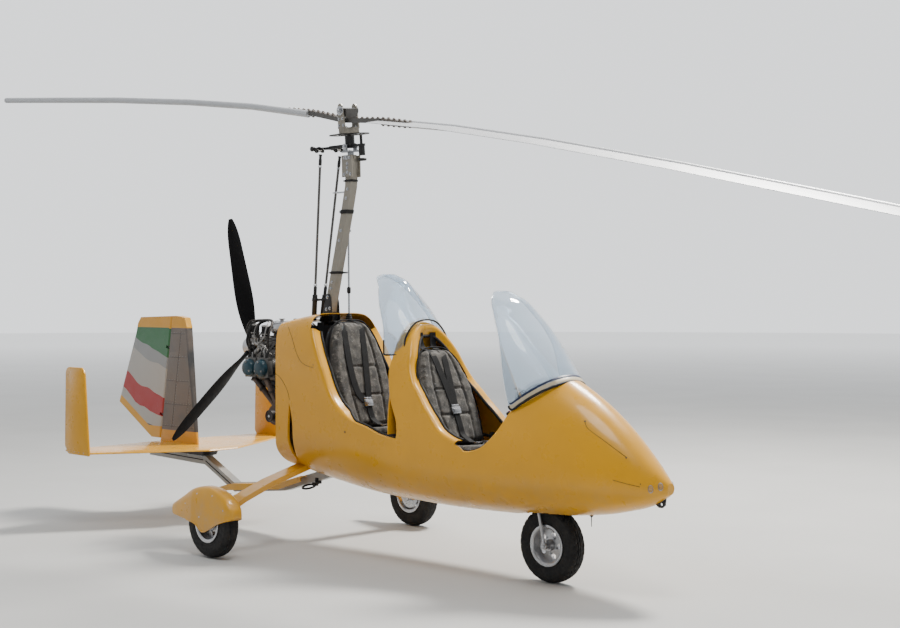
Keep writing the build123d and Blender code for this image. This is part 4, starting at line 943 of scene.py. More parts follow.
# ---- windscreens ----
# columns: height, station of the rear edge, length ahead of it, half width
NOSE_GLASS = np.array([(915, 1805, 341, 242), (1100, 1750, 288, 236), (1300, 1700, 168, 214), (1450, 1620, 110, 162), (1540, 1548, 90, 105), (1576, 1530, 40, 50)], float)
REAR_GLASS = np.array([(1180, 818, 258, 236), (1330, 782, 210, 214), (1480, 715, 162, 175), (1600, 632, 148, 108), (1650, 600, 130, 72), (1682, 600, 50, 36)], float)
NOSE_KEEP = [(1800, 944), (1812, 938.5), (2056, 1102.5), (2300, 1266), (2300, 1700), (1450, 1700), (1450, 1576)] + smooth_line([(1490, 1577), (1530, 1556), (1590, 1480), (1696, 1311), (1750, 1096), (1790, 960)], 14.0)
REAR_KEEP = [(806, 1207.5), (944, 1213.5), (925, 1300), (925, 1400), (938, 1428), (1100, 1428), (1100, 1800), (500, 1800)] + smooth_line([(540, 1672), (600, 1632), (680, 1528), (775, 1371), (806, 1225)], 14.0)


def glass_level(table, p):
    z = min(max(p[2] * 1000, table[0, 0]), table[-1, 0])
    x, ahead, half = hermite(table, z)
    return math.hypot(((p[0] - AX) * 1000 - x) / ahead, p[1] * 1000 / half)


def bar(g, rows):
    """A lofted bar: each row is a list of four or more points, same count."""
    n = len(rows[0])
    verts = [p for r_ in rows for p in r_]
    faces = []
    for i in range(len(rows) - 1):
        for j in range(n):
            faces.append((i * n + j, i * n + (j + 1) % n, (i + 1) * n + (j + 1) % n, (i + 1) * n + j))
    faces += [tuple(reversed(range(n))), tuple(range((len(rows) - 1) * n, len(rows) * n))]
    g.add(verts, faces)


def screen(name, table, keep, replaces):
    zs = np.linspace(table[0, 0], table[-1, 0], 90)
    n = 120
    verts, faces = [], []
    for z in zs:
        x, ahead, half = hermite(table, z)
        for k in range(n):
            a = 2 * math.pi * k / n
            verts.append((X(x + ahead * math.cos(a)), half * math.sin(a) / 1000, z / 1000))
    # crown over the last level
    x, ahead, half = hermite(table, zs[-1])
    for k in range(n):
        a = 2 * math.pi * k / n
        verts.append((X(x + ahead * 0.8 * math.cos(a)), half * 0.8 * math.sin(a) / 1000, zs[-1] / 1000 + 0.003))
    rows = len(zs) + 1
    for i in range(rows - 1):
        for k in range(n):
            faces.append((i * n + k, i * n + (k + 1) % n, (i + 1) * n + (k + 1) % n, (i + 1) * n + k))
    faces += [tuple(reversed(range(n))), tuple(range((rows - 1) * n, rows * n))]
    me = bpy.data.meshes.new(name)
    me.from_pydata(verts, [], faces)
    me = cut(me, m2(keep), "INTERSECT")
    low = table[0, 0] / 1000 + 0.001

    def on(c, nrm):
        if c[2] < low:
            return False
        if c[2] * 1000 > table[-1, 0] - 0.5:
            return True
        return glass_level(table, c) > 0.985 and abs(nrm.y) + abs(nrm.x) + max(nrm.z, 0) > 0.2 and not (abs(nrm.y) < 1e-4 and abs(c[1]) > 0.01)
    bm = skin_of(me, on)
    if name == "rear_screen":
        # the pod's skin hides the lowest edge, so the glass ends on it
        drop = [f for f in bm.faces if (lambda c: (c.x - AX) * 1000 > -100 and pod_level((c.x - AX) * 1000, c.y * 1000, c.z * 1000) < 0.965)(f.calc_center_median())]
        bmesh.ops.delete(bm, geom=drop, context="FACES")
        bmesh.ops.delete(bm, geom=[v for v in bm.verts if not v.link_faces], context="VERTS")
    edges = chains(bm)
    ob = shell(bm, name, "glass", 0.0035, replaces)
    return edges


nose_edges = screen("nose_screen", NOSE_GLASS, NOSE_KEEP, ("front_windscreen",))
rear_edges = screen("rear_screen", REAR_GLASS, REAR_KEEP, ("rear_windscreen",))
# polished edge bead round the free edges, black gasket where the glass meets the skin
bead, rub = Geo(), Geo()
for pts, closed in nose_edges:
    pts = even(pts, 0.012, closed)
    if len(pts) < 20:
        continue
    for run, c in split_runs(pts, closed, lambda p: p.z < np.interp((p.x - AX) * 1000, [1790, 2056, 2200], [0.965, 1.115, 1.22])):
        rub.tube(run, 0.0065, 10, c)
    for run, c in split_runs(pts, closed, lambda p: p.z >= np.interp((p.x - AX) * 1000, [1790, 2056, 2200], [0.965, 1.115, 1.22])):
        bead.tube(run, 0.0030, 8, c)
for pts, closed in rear_edges:
    pts = even(pts, 0.012, closed)
    if len(pts) < 20:
        continue

    def base(p):
        s = (p.x - AX) * 1000
        return pod_level(s, p.y * 1000, p.z * 1000) < 1.05
    for run, c in split_runs(pts, closed, base):
        rub.tube(run, 0.005, 10, c)
    for run, c in split_runs(pts, closed, lambda p: not base(p)):
        bead.tube(run, 0.0030, 8, c)
def base_strip(g, run, low, high):
    """A strip bonded on the nose glass, between two heights over its lower edge (mm)."""
    rows = []
    for p in run:
        x0, a0, h0 = hermite(NOSE_GLASS, p.z * 1000)
        ang = math.atan2(p.y * 1000 / h0, ((p.x - AX) * 1000 - x0) / a0)
        row = []
        for up, out in ((low, 0.3), (low, 1.7), (high, 1.7), (high, 0.3)):
            x1, a1, h1 = hermite(NOSE_GLASS, p.z * 1000 + up)
            row.append(Vector((X(x1 + (a1 + out) * math.cos(ang)), (h1 + out) * math.sin(ang) / 1000, p.z + up / 1000)))
        rows.append(row)
    bar(g, rows)


beige, blue = Geo(), Geo()
for pts, closed in nose_edges:
    pts = even(pts, 0.012, closed)
    if len(pts) < 20:
        continue
    for run, c in split_runs(pts, closed, lambda p: p.z < np.interp((p.x - AX) * 1000, [1790, 2056, 2200], [0.965, 1.115, 1.22]) and (p.x - AX) * 1000 > 1800):
        if len(run) > 8:
            base_strip(beige, run, 8, 25)
            base_strip(blue, run, 27, 37)
bead.done("screen_edges", "airframe", "lamp", "clear_screen", 60)
rub.done("screen_gaskets", "airframe", "hose", "black_composite", 60)
beige.done("screen_trim_beige", "airframe", "trim_beige", "tail_paint", 60)
blue.done("screen_trim_blue", "airframe", "trim_blue", "tail_paint", 60)


# ---- wheel spats ----
SPAT_TOP = [(236, 262), (226, 300), (155, 373), (0, 421), (-148, 401), (-256, 348), (-352, 303), (-396, 278), (-408, 254)]
SPAT_LOW = [(236, 255), (226, 249), (124, 218), (49, 182), (-32, 153), (-104, 196), (-181, 208), (-300, 218), (-376, 226), (-400, 240), (-408, 250)]
SPAT_PLAN = [(236, 30), (215, 48), (185, 57), (100, 60), (0, 60.5), (-140, 60), (-260, 44), (-350, 30), (-390, 21), (-404, 12), (-408, 7)]


def spat(name, side, replaces):
    top = np.array(smooth_line(SPAT_TOP, 6.0))[::-1]
    low = np.array(smooth_line(SPAT_LOW, 6.0))[::-1]
    plan = np.array(SPAT_PLAN[::-1], float)
    ss = np.concatenate([np.linspace(-408, 200, 90), np.linspace(203, 236, 14)])
    n = 44
    verts, faces = [], []
    for s in ss:
        zt = np.interp(s, top[:, 0], top[:, 1])
        zl = np.interp(s, low[:, 0], low[:, 1])
        half = np.interp(s, plan[:, 0], plan[:, 1])
        zt = max(zt, zl + 6)
        shut = 1.0 if (s < -190 or s > 205) else 0.0
        row = []
        for k in range(n + 1):
            a = math.pi * k / n
            c, d = math.cos(a), math.sin(a)
            y = half * (1 if c >= 0 else -1) * abs(c) ** 0.4
            z = zl + (zt - zl) * abs(d) ** 0.5
            row.append((X(s + MAIN), side * TRACK_HALF + y / 1000, z / 1000))
        verts += row
    m = n + 1
    for i in range(len(ss) - 1):
        for k in range(n):
            faces.append((i * m + k, i * m + k + 1, (i + 1) * m + k + 1, (i + 1) * m + k))
    faces.append(tuple(range(m)))
    faces.append(tuple(reversed(range((len(ss) - 1) * m, len(ss) * m))))
    # closed belly behind and ahead of the wheel
    for i in range(len(ss) - 1):
        if ss[i + 1] < -212 or ss[i] > 214:
            faces.append((i * m, (i + 1) * m, (i + 1) * m + n, i * m + n))
    me = bpy.data.meshes.new(name)
    me.from_pydata(verts, [], faces)
    bm = bmesh.new()
    bm.from_mesh(me)
    bmesh.ops.recalc_face_normals(bm, faces=bm.faces)
    # slot for the leg on the inner side
    drop = [f for f in bm.faces if side * (f.calc_center_median().y - side * TRACK_HALF) < -0.045 and abs((f.calc_center_median().x - AX) * 1000 - MAIN) < 50 and f.calc_center_median().z < 0.305]
    bmesh.ops.delete(bm, geom=drop, context="FACES")
    me2 = bpy.data.meshes.new(name)
    lines = chains(bm)
    bm.to_mesh(me2)
    bm.free()

    def solid(ob):
        mo = ob.modifiers.new("s", "SOLIDIFY")
        mo.thickness, mo.offset = 0.004, -1.0
    ob = piece(evaluated(me2, [solid]), name, "airframe", "yellow_low", 40, replaces)
    edge = Geo()
    for pts, closed in lines:
        pts = even(pts, 0.01, closed)
        if len(pts) > 20:
            edge.tube(pts, 0.0035, 8, closed)
    edge.done(name + "_edge", "airframe", "yellow_low", "yellow_paint", 60)
    # fixing screws round the sides
    g = Geo()
    for sgn in (-1, 1):
        for s, z in ((170, 300), (60, 375), (-90, 375), (-215, 305), (-60, 240) if sgn * side > 0 else (-120, 260)):
            zt = np.interp(s, top[:, 0], top[:, 1])
            zl = np.interp(s, low[:, 0], low[:, 1])
            half = np.interp(s, plan[:, 0], plan[:, 1])
            q = min(0.999, max(0.0, (z - zl) / (zt - zl)))
            d = q ** 2
            c = math.sqrt(max(0, 1 - d * d))
            y = half * c ** 0.4
            g.dome((X(s + MAIN), side * TRACK_HALF + sgn * y / 1000, z / 1000), (0, sgn, 0), 0.0045, 0.0018, 12)
    g.done(name + "_screws", "airframe", "steel", "silver_metal")


TRACK_HALF = 0.8305
spat("left_wheel_spat", 1, ("left_spat",))
spat("right_wheel_spat", -1, ("right_spat",))


# ---- tyres ----
def tyre(name, body, centre, replaces, chunky):
    """A tyre with grooves round it, shoulder lugs and raised rings on the sidewalls."""
    half = [(101.3, 44.4), (106, 44.8), (114, 45.0), (119, 46.5), (124, 47.2), (126, 48.6), (129, 48.6), (131, 47.9), (140, 49.3),
            (150, 49.8), (158, 49.9), (166, 49.5), (172, 48.6), (174, 49.0), (177, 48.4), (179, 47.2), (184, 45.2), (190, 42.0), (195, 37.6)]
    if chunky:
        crown = [(198.6, 33), (200.6, 27), (200.9, 24.5), (195.5, 24.0), (195.5, 20.0), (202.2, 19.5), (203.4, 13), (203.6, 8.5), (197.5, 8.0), (197.5, 5.0), (204.2, 4.5), (204.6, 0)]
    else:
        crown = [(198.6, 33), (200.6, 28), (201.2, 24.5), (197.2, 24.0), (197.2, 21.5), (202.4, 21.0), (203.4, 14), (203.6, 11), (199.6, 10.6), (199.6, 8.4), (204.2, 8.0), (204.8, 0)]
    right = half + crown
    prof = right + [(r, -h) for r, h in reversed(right[:-1])]
    segs = 240 if chunky else 180
    o = Vector(centre)
    verts, faces = [], []
    n = len(prof)
    for k in range(segs):
        a = 2 * math.pi * k / segs
        for r, h in prof:
            rr = r
            if r > 188 and abs(h) > 5:
                shift = 1 if h > 0 else 0
                if chunky:
                    ph = (k + shift * 4 + int(abs(h) / 14) * 2) % 8
                    if ph < 2 and abs(h) > 8.2:
                        rr = r - 5.0 if r < 201 or abs(h) > 20 else r - 4.2
                else:
                    ph = (k + shift * 3) % 6
                    if ph < 1 and abs(h) > 24:
                        rr = r - 2.6
            if not chunky and r < 180 and r > 168 and k % 3 == 0:
                rr = r - 0.5
            verts.append(o + Vector((math.cos(a) * rr / 1000, h / 1000, math.sin(a) * rr / 1000)))
    for k in range(segs):
        for j in range(n):
            faces.append((k * n + j, k * n + (j + 1) % n, ((k + 1) % segs) * n + (j + 1) % n, ((k + 1) % segs) * n + j))
    me = bpy.data.meshes.new(name)
    me.from_pydata([tuple(v) for v in verts], [], faces)
    piece(me, name, body, "rubber", 28, replaces)


tyre("nose_wheel_tyre", "nose_wheel", (X(NOSE), 0, 0.205), ("nose_tyre",), True)
tyre("left_wheel_tyre", "left_wheel", (X(MAIN), TRACK_HALF, 0.205), ("left_tyre",), False)
tyre("right_wheel_tyre", "right_wheel", (X(MAIN), -TRACK_HALF, 0.205), ("right_tyre",), False)


KEEL_LINE = [(700, 474), (130, 455), (-355, 318), (-890, 262), (-1225, 418), (-1900, 436)]

# ---------------------------------------------------------------- seats: padded, swollen by a cloth simulation, then sewn
def pad_mesh(frame_of, length, half_at, thick, voxel=0.006):
    """A closed pad in its own plane: u across, v along, w up off its base, rounded at its edges."""
    nu, nv = 34, int(length / 0.014)
    verts, faces = [], []

    def point(u, v, w):
        return frame_of(u, v, w)
    tops, lows = [], []
    for j in range(nv + 1):
        v = j / nv
        h = half_at(v)
        for i in range(nu + 1):
            u = -1 + 2 * i / nu
            edge = min(1.0, (1 - abs(u)) * h / 0.03)
            end = min(1.0, min(v, 1 - v) * length / 0.03)
            r = math.sqrt(max(0.0, 1 - (1 - edge) ** 2)) * math.sqrt(max(0.0, 1 - (1 - end) ** 2))
            w = thick * (0.28 + 0.72 * r)
            tops.append(point(u * h, v * length, w))
            lows.append(point(u * h * 0.97, v * length, thick * 0.04 + thick * 0.2 * (1 - r)))
    n = nu + 1
    verts = tops + lows
    m = len(tops)
    for j in range(nv):
        for i in range(nu):
            a = j * n + i
            faces.append((a, a + 1, a + n + 1, a + n))
            faces.append((m + a, m + a + n, m + a + n + 1, m + a + 1))
    for j in range(nv):
        for i in (0, nu):
            a = j * n + i
            q = (a, a + n, m + a + n, m + a)
            faces.append(q if i == 0 else tuple(reversed(q)))
    for i in range(nu):
        for j in (0, nv):
            a = j * n + i
            q = (a, m + a, m + a + 1, a + 1)
            faces.append(q if j == 0 else tuple(reversed(q)))
    me = bpy.data.meshes.new("pad")
    me.from_pydata([tuple(p) for p in verts], [], faces)
    bm = bmesh.new()
    bm.from_mesh(me)
    bmesh.ops.recalc_face_normals(bm, faces=bm.faces)
    bm.to_mesh(me)
    bm.free()

    def remesh(ob):
        r = ob.modifiers.new("r", "REMESH")
        r.mode, r.voxel_size = "VOXEL", voxel
    return evaluated(me, [remesh])


def inflate(me, cap):
    """Cloth pressure on a closed pad, each point moved no more than cap."""
    ob = bpy.data.objects.new("sim", me)
    bpy.context.scene.collection.objects.link(ob)
    start = np.zeros(len(me.vertices) * 3)
    me.vertices.foreach_get("co", start)
    start = start.reshape(-1, 3)
    c = ob.modifiers.new("c", "CLOTH")
    st_ = c.settings
    st_.use_pressure, st_.uniform_pressure_force = True, 4.0
    st_.effector_weights.gravity = 0.0
    st_.tension_stiffness = st_.compression_stiffness = 18.0
    st_.bending_stiffness = 0.6
    st_.quality = 5
    c.point_cache.frame_start, c.point_cache.frame_end = 1, 20
    scene = bpy.context.scene
    for f in range(1, 21):
        scene.frame_set(f)
    dg = bpy.context.evaluated_depsgraph_get()
    out = bpy.data.meshes.new_from_object(ob.evaluated_get(dg), depsgraph=dg)
    bpy.data.objects.remove(ob)
    scene.frame_set(1)
    co = np.zeros(len(out.vertices) * 3)
    out.vertices.foreach_get("co", co)
    co = co.reshape(-1, 3)
    if len(co) == len(start):
        d = co - start
        k = np.linalg.norm(d, axis=1, keepdims=True)
        co = start + d * np.minimum(1.0, cap / np.maximum(k, 1e-9))
        out.vertices.foreach_set("co", co.ravel())
    return out


def seat(name, head, foot, knee, w_head, w_mid, w_seat, replaces):
    head, foot, knee = (Vector((X(a), 0, b / 1000)) for a, b in (head, foot, knee))
    back = (head - foot).normalized()
    lift = (knee - foot).normalized()
    out_b = Vector((back.z, 0, -back.x))
    out_l = Vector((-lift.z, 0, lift.x))
    thick = 0.062
    # (label, origin, along, off, length, thickness, half width along it, channel lines across, lengthwise lines)
    lb = (head - foot).length - 0.045
    ls = (knee - foot).length

    def half_back(v):
        base = w_seat * 0.96 + (w_mid - w_seat * 0.96) * math.sin(min(1, v / 0.40) * math.pi / 2)
        if v > 0.40:
            q = (v - 0.40) / 0.60
            base = w_head + (w_mid - w_head) * max(0.0, 1 - q ** 2.15) ** 0.5
        at = foot + back * (0.045 + v * ((head - foot).length - 0.045)) + out_b * 0.03
        room = abs(pod_side((at.x - AX) * 1000, at.z * 1000)[1]) - 0.030
        return max(w_head, min(base, room))

    def half_seat(v):
        return w_seat * (1 - 0.10 * v * v)
    for label, o, along, off, length, t, half_at, cross, lines in (
            ("back", foot + back * 0.045, back, out_b, lb, thick * 0.80, half_back, (0.30, 0.56), (0.52,)),
            ("base", foot, lift, out_l, ls, thick * 0.80, half_seat, (0.42,), (0.52,))):
        def frame_of(u, v, w, o=o, along=along, off=off):
            return o + along * v + Vector((0, u, 0)) + off * (w + 0.0015)
        me = inflate(pad_mesh(frame_of, length, half_at, t), 0.012)
        # sewn channels: the cloth is pulled down along lines across and along the pad
        co = np.zeros(len(me.vertices) * 3)
        me.vertices.foreach_get("co", co)
        co = co.reshape(-1, 3)
        rel = co - np.array(o)
        v = rel @ np.array(along) / length
        u = rel[:, 1]
        w = rel @ np.array(off)
        halfs = np.array([half_at(min(1, max(0, q))) for q in v])
        up = np.clip((w - t * 0.35) / (t * 0.5), 0, 1)
        pull = np.zeros(len(v))
        for line in cross:
            pull += 0.010 * np.exp(-((v - line) * length / 0.007) ** 2) * (np.abs(u) < halfs * 0.55)
        for line in lines:
            pull += 0.011 * np.exp(-((np.abs(u) - halfs * line) / 0.007) ** 2)
        # creases where the back meets the seat
        crease = 0.0022 * np.sin(u * 90 + 3 * np.sin(v * 14)) * np.exp(-(v * length / 0.08) ** 2)
        soft = 0.0016 * np.sin(u * 41 + v * 23) * np.sin(v * 31 - u * 17)
        w_new = w - (pull + crease - soft) * up
        w_new = np.maximum(w_new, 0.0015)
        co = co + np.outer(w_new - w, np.array(off))
        me.vertices.foreach_set("co", co.ravel())

        def sub(ob):
            m = ob.modifiers.new("s", "SUBSURF")
            m.levels = m.render_levels = 1
        ob = piece(evaluated(me, [sub] if label == "back" else []), name + "_" + label, "airframe", "seat", None, ())
        ob.data.polygons.foreach_set("use_smooth", [True] * len(ob.data.polygons))
        # piped seam round the edge
        g = Geo()
        ring = []
        steps = 60
        for k in range(steps):
            ring.append((-1, k / steps))
        ring += [(-1 + 2 * k / 20, 1.0) for k in range(20)]
        ring += [(1, 1 - k / steps) for k in range(steps)]
        ring += [(1 - 2 * k / 20, 0.0) for k in range(20)]
        line = [frame_of(a * half_at(q) * 0.985, q * length, t * 0.62) for a, q in ring]
        g.tube(even(line, 0.012, True), 0.0042, 8, True)
        g.done(name + "_" + label + "_piping", "airframe", "belt", "seat_fabric", 60)
    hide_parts(*replaces)
    return head, foot, knee, back, lift, out_b, out_l


def strap(g, pts, width, across, thick=0.0024, fold=None):
    """Flat webbing along points; across is the width's direction."""
    pts = [Vector(p) for p in smooth_line([tuple(p) for p in pts], 0.012)]
    n = len(pts)
    verts, faces = [], []
    for i, p in enumerate(pts):
        a, b = pts[max(0, i - 1)], pts[min(n - 1, i + 1)]
        t = (b - a).normalized()
        side = (Vector(across) - t * Vector(across).dot(t)).normalized()
        nor = t.cross(side)
        sag = 0.0012 * math.sin(i * 0.9)
        for u, w in ((-1, -1), (-0.9, 1), (0.9, 1), (1, -1)):
            verts.append(p + side * u * width / 2 + nor * (w * thick / 2 + sag * (1 - u * u)))
    for i in range(n - 1):
        for j in range(4):
            faces.append((i * 4 + j, i * 4 + (j + 1) % 4, (i + 1) * 4 + (j + 1) % 4, (i + 1) * 4 + j))
    faces += [(3, 2, 1, 0), tuple(range((n - 1) * 4, n * 4))]
    g.add(verts, faces)
    return pts


def basis(x, y, z):
    m = Matrix((x, y, z)).transposed()
    return m


def harness(name, seat_frame, above, paths, buckle, spread):
    """above: points before the cushion's top; paths: per strap (fraction down the back, side offset) in metres."""
    head, foot, knee, back, lift, ob_, ol = seat_frame
    g, m = Geo(), Geo()
    length = (head - foot).length

    def on_back(v, y, up=0.062):
        return foot + back * (length * v) + ob_ * up + Vector((0, y, 0))
    for (top, path) in zip(above, paths):
        pts = [Vector(p) for p in top] + [on_back(v, y, up) for v, y, up in path]
        strap(g, pts, 0.050, (0, 1, 0), 0.003)
    v, y = buckle
    c = on_back(v, y, 0.069)
    rot = basis(Vector((0, 1, 0)), back, ob_)
    m.box(c, (0.070, 0.044, 0.012), 0.004, rot)
    m.box(c + ob_ * 0.008, (0.052, 0.020, 0.006), 0.0025, rot)
    m.box(c + back * 0.030, (0.060, 0.010, 0.008), 0.003, rot)
    # tail of the joined straps, down to the seat
    strap(g, [c - ob_ * 0.002, on_back(v * 0.6, y * 0.5, 0.068), foot + back * 0.10 + ob_ * 0.070 + Vector((0, y * 0.3, 0)), foot + lift * 0.13 + ol * 0.064, foot + lift * 0.22 + ol * 0.060 + Vector((0, -0.02, 0))], 0.046, (0, 1, 0), 0.003)
    for s_ in (-1, 1):
        def side_y(q):
            return Vector((0, s_ * q, 0))
        lap = [foot + lift * 0.03 + ol * 0.02 + side_y(spread), foot + lift * 0.07 + ol * 0.060 + side_y(spread * 0.86), foot + lift * 0.13 + ol * 0.068 + side_y(spread * 0.5),
               foot + lift * 0.17 + ol * 0.066 + side_y(0.05), foot + lift * 0.20 + ol * 0.066 + side_y(0.012)]
        strap(g, lap, 0.046, (lift * 0.9 + ol * 0.3).normalized(), 0.003)
        m.box(foot + lift * 0.085 + ol * 0.068 + side_y(spread * 0.72), (0.030, 0.054, 0.009), 0.003, basis(Vector((0, 1, 0)), lift, ol))
        m.box(foot + lift * 0.185 + ol * 0.073 + side_y(0.044), (0.050, 0.036, 0.010), 0.003, basis(Vector((0, 1, 0)), lift, ol))
    g.done(name + "_webbing", "airframe", "belt", "seat_fabric", 30)
    m.done(name + "_buckles", "airframe", "buckle", "silver_metal", 35)


rear = seat("rear_cushion", (215, 1395), (430, 690), (800, 720), 0.070, 0.236, 0.205, ("rear_seat_cushion",))
front = seat("front_cushion", (955, 1240), (1197, 640), (1545, 662), 0.050, 0.226, 0.200, ("front_seat_cushion",))
harness("rear_harness", rear,
        [[P(150, -70, 1392), P(196, -78, 1398)], [P(150, 70, 1392), P(196, 66, 1398)]],
        [[(0.955, -0.080, 0.050), (0.80, -0.094, 0.064), (0.55, -0.100, 0.068), (0.36, -0.080, 0.068), (0.28, -0.030, 0.068)],
         [(0.955, 0.062, 0.050), (0.80, 0.050, 0.064), (0.55, 0.024, 0.068), (0.36, 0.004, 0.068), (0.28, -0.010, 0.068)]],
        (0.27, -0.015), 0.185)
harness("front_harness", front,
        [[P(938, -66, 1338), P(940, -64, 1290), P(952, -58, 1252)], [P(938, 40, 1338), P(940, 40, 1290), P(952, 36, 1252)]],
        [[(0.93, -0.054, 0.056), (0.78, -0.040, 0.066), (0.55, -0.018, 0.068), (0.42, -0.008, 0.068)],
         [(0.93, 0.032, 0.056), (0.78, 0.024, 0.066), (0.55, 0.012, 0.068), (0.42, 0.004, 0.068)]],
        (0.38, 0.0), 0.180)


# ---------------------------------------------------------------- rotor head, rods and mast fittings
HX, PY, SZ = Vector((1, 0, 0)), Vector((0, 0.9953962, 0.0958458)), Vector((0, -0.0958458, 0.9953962))
H0 = P(262, 0, 2410)
TEETER = math.radians(9.4)
BX = HX * math.cos(TEETER) - SZ * math.sin(TEETER)
BZ = SZ * math.cos(TEETER) + HX * math.sin(TEETER)
B0 = H0 + SZ * 0.290


def H(x, y, z):
    """Millimetres in the leaned head's own axes, from its roll pin."""
    return H0 + (HX * x + PY * y + SZ * z) / 1000


def B(x, y, z):
    """Millimetres in the rotor's own axes, from the teeter bolt."""
    return B0 + (BX * x + PY * y + BZ * z) / 1000


def prism(g, outline, to, thick):
    """A flat plate: outline points given through to(a, b, h) for the heights 0 and thick."""
    n = len(outline)
    verts = [to(a, b, 0) for a, b in outline] + [to(a, b, thick) for a, b in outline]
    faces = [tuple(reversed(range(n))), tuple(range(n, 2 * n))] + [(i, (i + 1) % n, (i + 1) % n + n, i + n) for i in range(n)]
    g.add(verts, faces)


def round_outline(pts, radii, steps=8):
    """A polygon with its corners rounded."""
    out = []
    n = len(pts)
    for i in range(n):
        p, a, b = Vector(pts[i]), Vector(pts[i - 1]), Vector(pts[(i + 1) % n])
        r = radii[i] if isinstance(radii, (list, tuple)) else radii
        if not r:
            out.append(tuple(p))
            continue
        u, v = (a - p), (b - p)
        ang = u.angle(v)
        cut_ = min(r / math.tan(ang / 2), u.length * 0.48, v.length * 0.48)
        p1, p2 = p + u.normalized() * cut_, p + v.normalized() * cut_
        for k in range(steps + 1):
            t = k / steps
            q = p1 * (1 - t) ** 2 + p * 2 * t * (1 - t) + p2 * t * t
            out.append(tuple(q))
    return out


# toothed ring, its spokes and the rotor shaft
g = Geo()
teeth = 120
verts, faces = [], []
for k in range(teeth * 4):
    a = 2 * math.pi * k / (teeth * 4)
    ro = 125.0 if k % 4 in (0, 1) else 121.0
    c, s_ = math.cos(a), math.sin(a)
    for r_, z_ in ((ro, 141.0), (ro, 147.0), (100.0, 147.0), (98.0, 145.5), (98.0, 142.5), (100.0, 141.0)):
        verts.append(H(c * r_, s_ * r_, z_))
m_ = teeth * 4
for k in range(m_):
    for j in range(6):
        faces.append((k * 6 + j, k * 6 + (j + 1) % 6, ((k + 1) % m_) * 6 + (j + 1) % 6, ((k + 1) % m_) * 6 + j))
g.add(verts, faces)
for k in range(4):
    a = math.pi / 2 * k
    d, w = HX * math.cos(a) + PY * math.sin(a), -HX * math.sin(a) + PY * math.cos(a)
    rows = []
    for r_, half in ((24, 12), (40, 9), (70, 7.5), (90, 9), (101, 13)):
        o = H0 + d * r_ / 1000
        rows.append([o + w * half / 1000 + SZ * 0.142, o + w * half / 1000 + SZ * 0.146, o - w * half / 1000 + SZ * 0.146, o - w * half / 1000 + SZ * 0.142])
    bar(g, rows)
    g.bolt(H0 + d * 0.092 + SZ * 0.146, SZ, 0.0045, 0.004)
g.lathe([(0.0, 0.141), (0.030, 0.141), (0.030, 0.147), (0.0, 0.147)], H0, SZ, 40)
g.lathe([(0.0, 0.0786), (0.0097, 0.0786), (0.010, 0.080), (0.010, 0.141), (0.0, 0.141)], H0, SZ, 32)
g.done("toothed_ring", "rotor_head", "steel_dark", "dark_steel", 30, ("ring_gear",))

# bolts on the towers, and the big bolt the rotor rocks on
g = Geo()
for sgn in (-1, 1):
    g.bolt(H(0, sgn * 62, 290), PY * sgn, 0.017, 0.013)
    g.lathe([(0.0, 0.013), (0.008, 0.013), (0.0085, 0.018), (0.007, 0.021), (0.0, 0.021)], H(0, sgn * 62, 290), PY * sgn, 16)
    for x, z in ((-20, 200), (20, 200), (-16, 240), (16, 240)):
        g.bolt(H(x, sgn * 62, z), PY * sgn, 0.0055, 0.005)
    for x in (-22, 22):
        g.bolt(H(x, sgn * 40, 187), SZ, 0.006, 0.006)
g.done("tower_bolts", "rotor_head", "steel", "steel", 30)

# straps that clamp the blades to the hub bar, with their rows of bolts
strap_geo, bolts = Geo(), Geo()
BLADE_RISE = [(0, -46), (330, -46), (900, -38), (1600, -57)]
for sgn in (-1, 1):
    rows = []
    for r_ in (62, 120, 200, 330, 345, 430, 520, 552, 566):
        top = -44 + 22 * min(r_, 330) / 330
        if r_ > 330:
            top = -22 - 4 * (r_ - 330) / 240
        low = top - (5 if r_ < 340 else 12)
        half = 34 if r_ < 545 else (28 if r_ < 560 else 20)
        rows.append([B(sgn * r_, -half, low), B(sgn * r_, -half, top), B(sgn * r_, half, top), B(sgn * r_, half, low)])
    bar(strap_geo, rows)
    rows = []
    for r_ in (333, 400, 470, 540, 560):
        low = -60.5 + 8 * (r_ - 330) / 570
        half = 28 if r_ < 545 else 18
        rows.append([B(sgn * r_, -half, low), B(sgn * r_, -half, low + 8), B(sgn * r_, half, low + 8), B(sgn * r_, half, low)])
    bar(strap_geo, rows)
    for k in range(10):
        r_ = 112 + k * 47
        top = -44 + 22 * min(r_, 330) / 330 if r_ <= 330 else -22 - 4 * (r_ - 330) / 240
        for y in (-21, 21):
            bolts.bolt(B(sgn * r_, y, top - 0.5), BZ, 0.0075, 0.0075)
            if r_ > 340:
                bolts.bolt(B(sgn * r_, y, -60.0 + 8 * (r_ - 330) / 570), -BZ, 0.0070, 0.0060)
strap_geo.done("blade_root_straps", "rotor_blades", "strap_metal", "dark_steel", 30, (), 0.0012)
bolts.done("blade_root_bolts", "rotor_blades", "strap_metal", "dark_steel", 30)
# bushes either side of the rocking block
g = Geo()
for sgn in (-1, 1):
    g.lathe([(0.0098, 0.0), (0.019, 0.0), (0.020, 0.001), (0.020, 0.0035), (0.0098, 0.0035)], B(0, sgn * 48.2, 0), PY * sgn, 28)
    for x in (-28, 28):
        g.bolt(B(x, sgn * 48, -40), PY * sgn, 0.0055, 0.005)
g.done("rocking_block_bushes", "rotor_blades", "alu", "silver_metal", 30)

